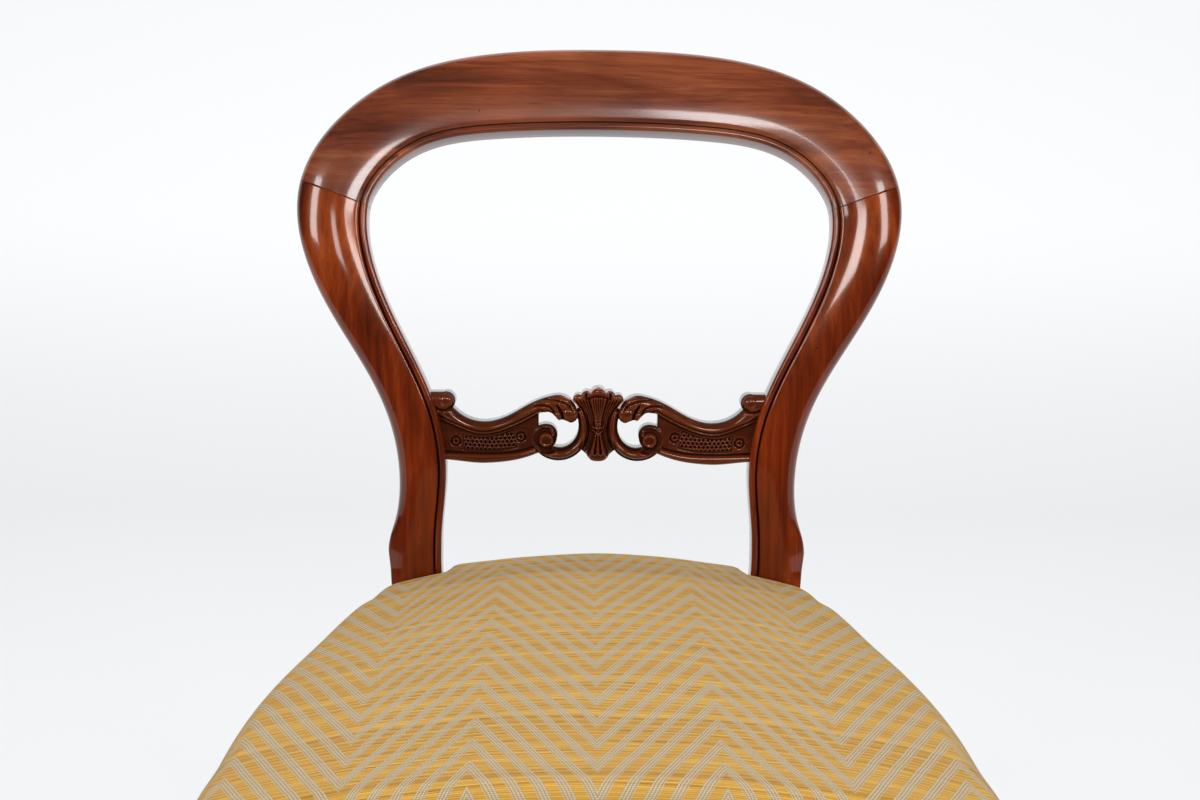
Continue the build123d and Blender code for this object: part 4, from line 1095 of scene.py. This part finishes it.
def rim_radius(points):
    """Radius of the rim's rounding at a plan point."""
    rear = ease((points[:, 1] + 40) / 60)
    front = ease((-points[:, 1] - 300) / 80)
    base = 25.0 - 7.0 * rear - 15.0 * front
    tucked = 5.0 + 8.0 * ease((points[:, 1] + 2) / 24)
    return base + (tucked - base) * near_post(points)


def unevenness(points):
    """Small hollows and swellings of a hand-stuffed pad."""
    x, y = points[:, 0], points[:, 1]
    return (
        0.5 * np.sin(x / 31 + 0.6) * np.sin(y / 37 + 1.1)
        + 0.35 * np.sin(x / 17 - y / 23 + 2.0)
        + 0.22 * np.sin(x / 9.5 + y / 12.5 + 0.4) * np.sin(y / 15.5)
    )


shares = 1 - (1 - np.linspace(0, 1, TOP_RINGS + 1)[1:]) ** 1.7
top_rings = []
for share in shares:
    plan = centre + (widest - centre) * share
    gap, _ = distance(widest, plan, closed=True)
    gap = np.where(share > 0.9999, 0.0, gap)
    radius = rim_radius(plan)
    inside_rim = np.clip(radius - gap, 0, None)
    fall = radius - np.sqrt(np.maximum(radius**2 - inside_rim**2, 0))
    height = crown(plan) - fall + unevenness(plan) * ease(gap / 30)
    top_rings.append(np.column_stack([plan, height]))
rim_z = top_rings[-1][:, 2]
bottom_z = FRAME_BOTTOM - COVER_OUTSIDE
hem = narrow + narrow_normals * COVER_OUTSIDE
side_rings = []
pleat_phase = np.arctan2(widest[:, 1] - SEAT_CENTRE_Y, np.abs(widest[:, 0]))
corner_near = ease(1 - np.hypot(np.abs(widest[:, 0]) - 214, widest[:, 1] + 380) / 34)
for share in np.linspace(0, 1, SIDE_RINGS + 1)[1:]:
    drawn = share**2.1
    plan = widest + (hem - widest) * drawn
    pleats = 0.9 * np.sin(pleat_phase * 62) * corner_near * ease(share * 1.4) * (1 - 0.4 * share)
    bulge = (pleats + 0.5 * np.sin(pi * share))[:, None] * ease((-widest[:, 1] - 6) / 20)[:, None]
    side_rings.append(np.column_stack([plan + normals * bulge, rim_z + (bottom_z - rim_z) * share]))


def level_ring(plan, z):
    return np.column_stack([plan, np.full(len(plan), float(z))])


def drawn_in(plan, inset):
    return plan - narrow_normals * inset


under_rings = []
for inset, z in (
    (0.4 - COVER_OUTSIDE, bottom_z - 0.25),
    (2.0, bottom_z - 0.3),
    (TURN_UNDER * 0.6, bottom_z - 0.1),
    (TURN_UNDER, bottom_z),
    (TURN_UNDER, FRAME_BOTTOM - RAIL_GAP),
    (TURN_UNDER * 0.5, FRAME_BOTTOM - RAIL_GAP),
    (-0.12, FRAME_BOTTOM - RAIL_GAP),
    (-0.12, FRAME_BOTTOM + 20),
    (-0.12, FRAME_TOP),
    (-0.12, PAD_UNDERSIDE),
):
    inner_outline = drawn_in(narrow, inset)
    under_rings.append(level_ring(inner_outline, z))
for share in (0.85, 0.6, 0.3):
    under_rings.append(level_ring(centre + (inner_outline - centre) * share, PAD_UNDERSIDE))
seat_rings = np.array(top_rings + side_rings + under_rings)


def flat_cloth(plan):
    """Flat coordinates of a cloth, with a third one of 0."""
    return np.concatenate([plan, np.zeros((*plan.shape[:-1], 1))], -1)


def weave_row(y):
    """Place along the woven pattern, which is drawn tighter towards the front."""
    forward = WEAVE_START_Y - y
    return WEAVE_START - CHEVRON_PITCH * (WEAVE_COUNT * forward + WEAVE_TIGHTENING * forward**2)


# Flat coordinates of the cloth: plan on the top, and down the sides the length along the surface
steps = np.diff(np.concatenate([seat_rings[:1], seat_rings]), axis=0)
lengths = np.linalg.norm(steps, axis=2)
outward = np.einsum("rni,ni->rn", steps[..., :2], normals)
slack = np.cumsum(lengths - outward, axis=0)
slack = slack - slack[FLAT_RINGS]
slack = np.where(np.arange(len(seat_rings))[:, None] < FLAT_RINGS, 0, slack)
cloth = flat_cloth(seat_rings[..., :2] + normals[None] * slack[..., None])
cloth[..., 1] = weave_row(cloth[..., 1])

top_pole = len(seat_rings) * around_seat
pole_height = crown(centre[None])[0] + unevenness(centre[None])[0]
poles = [(0, SEAT_CENTRE_Y, pole_height), (0, SEAT_CENTRE_Y, PAD_UNDERSIDE)]
seat_points = np.concatenate([seat_rings.reshape(-1, 3), poles]) + np.array([0, POST_Y, 0])
seat_faces = tube_faces(len(seat_rings), around_seat, caps=False)
last = top_pole - around_seat
for i in range(around_seat):
    following = (i + 1) % around_seat
    seat_faces.append([top_pole, following, i])
    seat_faces.append([top_pole + 1, last + i, last + following])
seat = make_piece(
    "upholstered_seat",
    seat_points,
    seat_faces,
    chevron_cloth("chevron_cloth"),
    ["top_cover", "hair_stuffing"],
    "chevron_cloth",
    cloth=np.concatenate([cloth.reshape(-1, 3), [(0, weave_row(SEAT_CENTRE_Y), 0)] * 2]),
)

# --- Front legs: turned, with a square block inside the seat frame ---


def turned_ring(groove, top, z, height):
    """Rounded profile of a turned ring."""
    middle = z + height / 2
    turns = np.radians(np.linspace(-90, 90, 15))
    return np.stack([groove + (top - groove) * np.cos(turns), middle + height / 2 * np.sin(turns)], 1)


leg_profile = np.concatenate(
    [
        [(0.01, 0.0), (8.0, 0.0), (10.2, 0.3), (10.9, 1.2)],
        smooth_path([(11.2, 3.0), (13.3, 24.0), (12.2, 51.6)], 26),
        turned_ring(12.1, 16.4, 52.0, 11.0),
        smooth_path(
            [(12.2, 63.4), (16.4, 140.0), (20.3, 220.0), (21.9, 283.0), (19.6, 312.0), (15.1, 330.6)], 90
        ),
        turned_ring(15.0, 21.9, 331.0, 13.2),
        smooth_path([(15.2, 344.4), (17.2, 349.0), (22.0, 354.4)], 12),
        [(22.4, 355.2), (22.5, 358.0), (22.5, 364.8), (0.01, 364.8)],
    ]
)
turns = np.linspace(0, 2 * pi, TURNED_AROUND, endpoint=False)
radii, heights = leg_profile[:, :1], leg_profile[:, 1:]
leg_points = [radii * np.cos(turns), radii * np.sin(turns), np.repeat(heights, TURNED_AROUND, 1)]
leg_points = np.stack(leg_points, -1).reshape(-1, 3)
leg_faces = tube_faces(len(leg_profile), TURNED_AROUND)
# Painted shade in the grooves at both sides of each turned ring
profile_recess = np.zeros(len(leg_profile))
for groove_z in (51.8, 63.2, 330.8, 344.4):
    profile_recess = np.maximum(profile_recess, 0.75 * ridge(leg_profile[:, 1] - groove_z, 1.6))
leg_recess = np.repeat(profile_recess, TURNED_AROUND)
leg_place = np.array([LEG_X, LEG_Y - POST_Y])
block_outline = block_section(LEG_BLOCK - 1, LEG_BLOCK - 1, 1.5) - np.array([0, (LEG_BLOCK - 1) / 2])
block_outline = block_outline + leg_place
for _ in range(12):
    poking = np.maximum(2.0 - depth_inside(narrow, block_outline), 0)
    inward = leg_place + np.array([-12, 12]) - block_outline
    block_outline = block_outline + inward * (poking / np.linalg.norm(inward, axis=1))[:, None] * 0.8
block_ring = block_outline - leg_place
block_points = [level_ring(block_ring, z) for z in (365.4, 380.0, 395.0, 410.0, 424.6)]
block_points.insert(0, level_ring(block_ring * 0.985, FRAME_BOTTOM))
block_points.append(level_ring(block_ring * 0.985, FRAME_TOP))
leg_faces += tube_faces(len(block_points), len(block_ring), len(leg_points))
leg_recess = np.concatenate([leg_recess, np.zeros(len(block_points) * len(block_ring))])
leg_points = np.concatenate([leg_points, *block_points]) + np.array([LEG_X, LEG_Y, 0])
make_pair("front_{}_leg_turned", leg_points, leg_faces, mahogany["leg"], "front_{}_leg", leg_recess)

# --- Under the seat: hessian, webbing, tacks and screws ---

jute_stripe = (21.0, 1.3, (0.22, 0.045, 0.03))
jute = woven("jute_webbing", (0.360, 0.235, 0.120), (0.150, 0.090, 0.045), 1.9, jute_stripe)
hessian = woven("hessian", (0.300, 0.205, 0.110), (0.130, 0.080, 0.040), 1.5)


def strap(route):
    """Closed band of webbing along a route of (along, z), and its flat coordinates: rows of points
    across its underside and back over its top."""
    route = np.array(route)
    line = at_lengths(route, np.arange(0, lengths_along(route)[-1] + 1.9, 2.0))
    for _ in range(3):
        line[1:-1] = (line[:-2] + 2 * line[1:-1] + line[2:]) / 4
    across = np.linspace(-WEBBING / 2, WEBBING / 2, 17)
    rib = 0.10 * np.cos(across * 2 * pi / 3.1)
    ring = [*zip(across, rib), *zip(across[::-1], WEBBING_THICK - rib)]
    points = [[(a, along, z + up) for a, up in ring] for along, z in line]
    flat = [[(a, along, 0) for a, up in ring] for along, z in line]
    return np.array(points), np.array(flat)


def make_straps(name, bands, node):
    """One piece from several bands of webbing."""
    points, flat = (np.concatenate([band[i].reshape(-1, 3) for band in bands]) for i in (0, 1))
    faces, first = [], 0
    for band, _ in bands:
        faces += tube_faces(*band.shape[:2], first)
        first += band.shape[0] * band.shape[1]
    make_piece(name, points, faces, jute, [node], "jute_webbing", cloth=flat)


long_x = [-78.0, 0.0, 78.0]
long_bands = []
for x in long_x:
    points, flat = strap([(-356.0, STRAP_Z), (12.0, STRAP_Z)])
    long_bands.append((points + np.array([x, POST_Y, 0]), flat))
make_straps("webbing_long_straps", long_bands, "webbing_front_to_back")

cross_bands = []
weave_z = (FRAME_TOP + WEBBING_THICK + STRAP_GAP, FRAME_TOP - WEBBING_THICK - STRAP_GAP)
LEVEL_HALF, RAMP_HALF = 27.0, 36.0
for i in range(3):
    y = -FRAME_FRONT / 2 + 19.5 + 84.0 * (i - 1)
    forward = -y - WEBBING / 2
    reach = POST_OUTER_X + (FRAME_MIDDLE_HALF - POST_OUTER_X) * min(forward / SEAT_MIDDLE, 1) - 8
    route = [(-reach, STRAP_Z), (long_x[0] - RAMP_HALF, STRAP_Z)]
    for k, x in enumerate(long_x):
        route += [(x + end, weave_z[(i + k) % 2]) for end in (-LEVEL_HALF, LEVEL_HALF)]
    points, flat = strap(route + [(long_x[-1] + RAMP_HALF, STRAP_Z), (reach, STRAP_Z)])
    cross_bands.append((points[..., [1, 0, 2]] + np.array([0, POST_Y + y, 0]), flat))
make_straps("webbing_cross_straps", cross_bands, "webbing_side_to_side")

# Hessian, laid flat over the straps
hessian_edge = drawn_in(narrow, 1.0)
hessian_edge[:, 1] = np.minimum(hessian_edge[:, 1], 20.0)
sheet_shares = np.linspace(0.04, 1.0, 36)
sheets = []
for up, order in ((0.0, sheet_shares), (HESSIAN_THICK, sheet_shares[::-1])):
    for share in order:
        plan = centre + (hessian_edge - centre) * share
        sag = 0.12 * np.sin(plan[:, 0] / 11) * np.sin(plan[:, 1] / 13)
        sheets.append(np.column_stack([plan, HESSIAN_Z + up + sag]))
sheets = np.concatenate(sheets)
hessian_piece = make_piece(
    "hessian_cloth",
    sheets + np.array([0, POST_Y, 0]),
    tube_faces(2 * len(sheet_shares), around_seat),
    hessian,
    ["hessian_base_cloth"],
    "hessian",
    cloth=flat_cloth(sheets[:, :2]),
)


def studs(name, places, profile, around_stud, material, slot_width=0.0):
    """Small turned heads, all alike, at (point, direction) places, as one piece. A slot is cut across
    them if it has a width."""
    points, faces = [], []
    for place, way in places:
        turn = Vector(way).to_track_quat("Z", "X").to_matrix()
        faces += tube_faces(len(profile), around_stud, len(points))
        for radius, height in profile:
            for angle in np.linspace(0, 2 * pi, around_stud, endpoint=False):
                x, y = radius * cos(angle), radius * sin(angle)
                z = height - (SLOT_DEPTH if abs(x) < slot_width / 2 and height > 0 else 0.0)
                points.append(tuple(Vector(place) + turn @ Vector((x, y, z))))
    make_piece(name, points, faces, material)


tack_steel = metal("tack_steel", (0.10, 0.11, 0.14), 0.34)
screw_iron = metal("screw_iron", (0.23, 0.21, 0.19), 0.38)
TACK_INSET, TACK_PITCH = 8.0, 21.0
tack_profile = [(0.5, 1.2), (3.1, 0.05), (3.3, 0.0), (3.2, -0.35), (2.5, -0.85), (1.4, -1.2)]
tack_profile.append((0.3, -1.3))
tack_line = drawn_in(narrow, TACK_INSET)
tack_steps = np.arange(9.0, lengths_along(tack_line)[-1] - 5, TACK_PITCH)
tack_places = []
for x, y in at_lengths(tack_line, tack_steps).tolist():
    near_leg = np.hypot(abs(x) - leg_place[0], y - leg_place[1]) < 27
    at_post = abs(x) > POST_INNER_X - 6 and y > -8
    if not near_leg and not at_post:
        tack_places.append(((x, y + POST_Y, FRAME_BOTTOM - COVER_OUTSIDE - 0.45), (0, 0, 1)))
studs("cover_tacks", tack_places, tack_profile, 14, tack_steel)

screw_profile = [(2.0, -5.0), (2.0, -2.2), (4.3, 0.0), (4.1, 0.25), (3.0, 0.42), (1.5, 0.5), (0.3, 0.5)]
# Two screws through each corner block, whose middle is BLOCK_REACH in from the frame's corner
BLOCK_REACH, SCREW_OFF = 31.0, 16.0
diagonal = sqrt(0.5)
screw_places = []
for side in (1, -1):
    for corner, toward in (((LEG_X, -339.0), (-1, 1)), ((127.0, 0.0), (-1, -1))):
        middle = [corner[axis] + toward[axis] * BLOCK_REACH for axis in (0, 1)]
        for off in (-SCREW_OFF, SCREW_OFF):
            x = middle[0] + off * diagonal * toward[0]
            y = middle[1] - off * diagonal * toward[1]
            way = (side * toward[0] * diagonal, toward[1] * diagonal, 0.0)
            screw_places.append(((side * x, y + POST_Y, (FRAME_TOP + FRAME_BOTTOM) / 2), way))
studs("corner_block_screws", screw_places, screw_profile, 24, screw_iron, slot_width=1.1)

# Carried-over CAD pieces
beech = {axis: plain_wood(f"frame_beech_{axis.lower()}", axis, n + 5) for n, axis in enumerate("XY")}
blocks = [f"corner_block_{end}_{side}" for end in ("front", "rear") for side in ("left", "right")]
across_pieces = ["front_rail", "rear_rail", *blocks, "crest_joint_dowels"]
for name in across_pieces + ["left_side_rail", "right_side_rail"]:
    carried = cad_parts[name]
    carried.data.materials.clear()
    carried.data.materials.append(beech["X" if name in across_pieces else "Y"])

# --- Room, light and camera, in metres ---

WALL_Y = 2.935
SWEEP_RADIUS = 0.95
PAPER_COLOUR = (0.40, 0.404, 0.409, 1.0)
sweep_line = [(-1.1, 0.0), (0.6, 0.0)]
for turn in np.radians(np.linspace(0, 90, 25)):
    sweep_line.append((WALL_Y - SWEEP_RADIUS * (1 - sin(turn)), SWEEP_RADIUS * (1 - cos(turn))))
sweep_line.append((WALL_Y, 6.0))
sweep_mesh = bpy.data.meshes.new("paper_sweep")
sweep_mesh.from_pydata(
    [(x, y, z) for y, z in sweep_line for x in (-9.0, 9.0)],
    [],
    [(2 * i, 2 * i + 1, 2 * i + 3, 2 * i + 2) for i in range(len(sweep_line) - 1)],
)
sweep_mesh.shade_smooth()
paper = Shader("white_paper")
height = paper.node("SeparateXYZ", {"Vector": paper.place()})[2]
ray = paper.node("LightPath")
looked_at = paper.math("MAXIMUM", ray["Is Camera Ray"], ray["Is Glossy Ray"])
glow = paper.times(looked_at, paper.range(height, 0.0, 0.5, 1.26, 1.57))
paper.finish(
    Base_Color=PAPER_COLOUR,
    Roughness=0.9,
    Specular_IOR_Level=0.0,
    Emission_Color=PAPER_COLOUR,
    Emission_Strength=glow,
)
sweep_mesh.materials.append(paper.material)
sweep = bpy.data.objects.new("paper_sweep", sweep_mesh)
bpy.context.scene.collection.objects.link(sweep)

world = bpy.data.worlds.new("studio")
world.use_nodes = True
bpy.context.scene.world = world
tree = world.node_tree
tree.nodes.clear()
path = tree.nodes.new("ShaderNodeLightPath")


def background(colour, strength):
    made = tree.nodes.new("ShaderNodeBackground")
    made.inputs[0].default_value = (*colour, 1)
    made.inputs[1].default_value = strength
    return made.outputs[0]


def for_rays(kind, shown, otherwise):
    """What rays of one kind meet, and what the others do."""
    made = tree.nodes.new("ShaderNodeMixShader")
    for socket, source in zip(made.inputs, (path.outputs[kind], otherwise, shown)):
        tree.links.new(source, socket)
    return made.outputs[0]


lit, mirror = (background((0.95, 0.97, 1.0), strength) for strength in (0.68, 0.06))
indirect = for_rays("Is Glossy Ray", mirror, lit)
sky = for_rays("Is Camera Ray", background((1, 1, 1), 1.0), indirect)
tree.links.new(sky, tree.nodes.new("ShaderNodeOutputWorld").inputs[0])


def softbox(name, place, target, size, power, mirrored_in_polish=True):
    """Rectangular soft light, facing a point."""
    light = bpy.data.lights.new(name, "AREA")
    light.shape = "RECTANGLE"
    light.size, light.size_y = size
    light.energy = power
    lamp = bpy.data.objects.new(name, light)
    bpy.context.scene.collection.objects.link(lamp)
    lamp.location = place
    lamp.rotation_mode = "QUATERNION"
    lamp.rotation_quaternion = (Vector(target) - Vector(place)).to_track_quat("-Z", "Y")
    lamp.visible_glossy = mirrored_in_polish


AIM = (0.0, 0.0, 0.6)
softbox("left_softbox", (-1.75, -1.75, 1.75), AIM, (0.42, 1.0), 19)
softbox("right_softbox", (1.75, -1.75, 1.75), AIM, (0.42, 1.0), 18)
softbox("front_right_softbox", (0.40, -2.25, 1.62), AIM, (0.54, 0.48), 14.0)
softbox("front_left_softbox", (-0.60, -2.2, 1.60), AIM, (0.26, 0.36), 3.4)
softbox("top_softbox", (0.0, 1.0, 2.8), AIM, (2.6, 1.8), 32, mirrored_in_polish=False)

camera_data = bpy.data.cameras.new("photo_camera")
camera_data.sensor_width = 36.0
camera_data.lens = 50.0
camera = bpy.data.objects.new("photo_camera", camera_data)
bpy.context.scene.collection.objects.link(camera)
CAMERA_PLACE = Vector((-13.18, -1049.24, 849.19)) * MM
CAMERA_PITCH, CAMERA_YAW, CAMERA_ROLL = (radians(a) for a in (11.86, 0.688, 0.668))
level = cos(CAMERA_PITCH)
ahead = Vector((sin(CAMERA_YAW) * level, cos(CAMERA_YAW) * level, -sin(CAMERA_PITCH)))
level_right = ahead.cross(Vector((0, 0, 1))).normalized()
level_up = level_right.cross(ahead)
right = level_right * cos(CAMERA_ROLL) + level_up * sin(CAMERA_ROLL)
up = level_up * cos(CAMERA_ROLL) - level_right * sin(CAMERA_ROLL)
camera_turn = Matrix((right, up, -ahead)).transposed().to_4x4()
camera.matrix_world = Matrix.Translation(CAMERA_PLACE) @ camera_turn
bpy.context.scene.camera = camera
bpy.context.scene.view_settings.view_transform = "Standard"
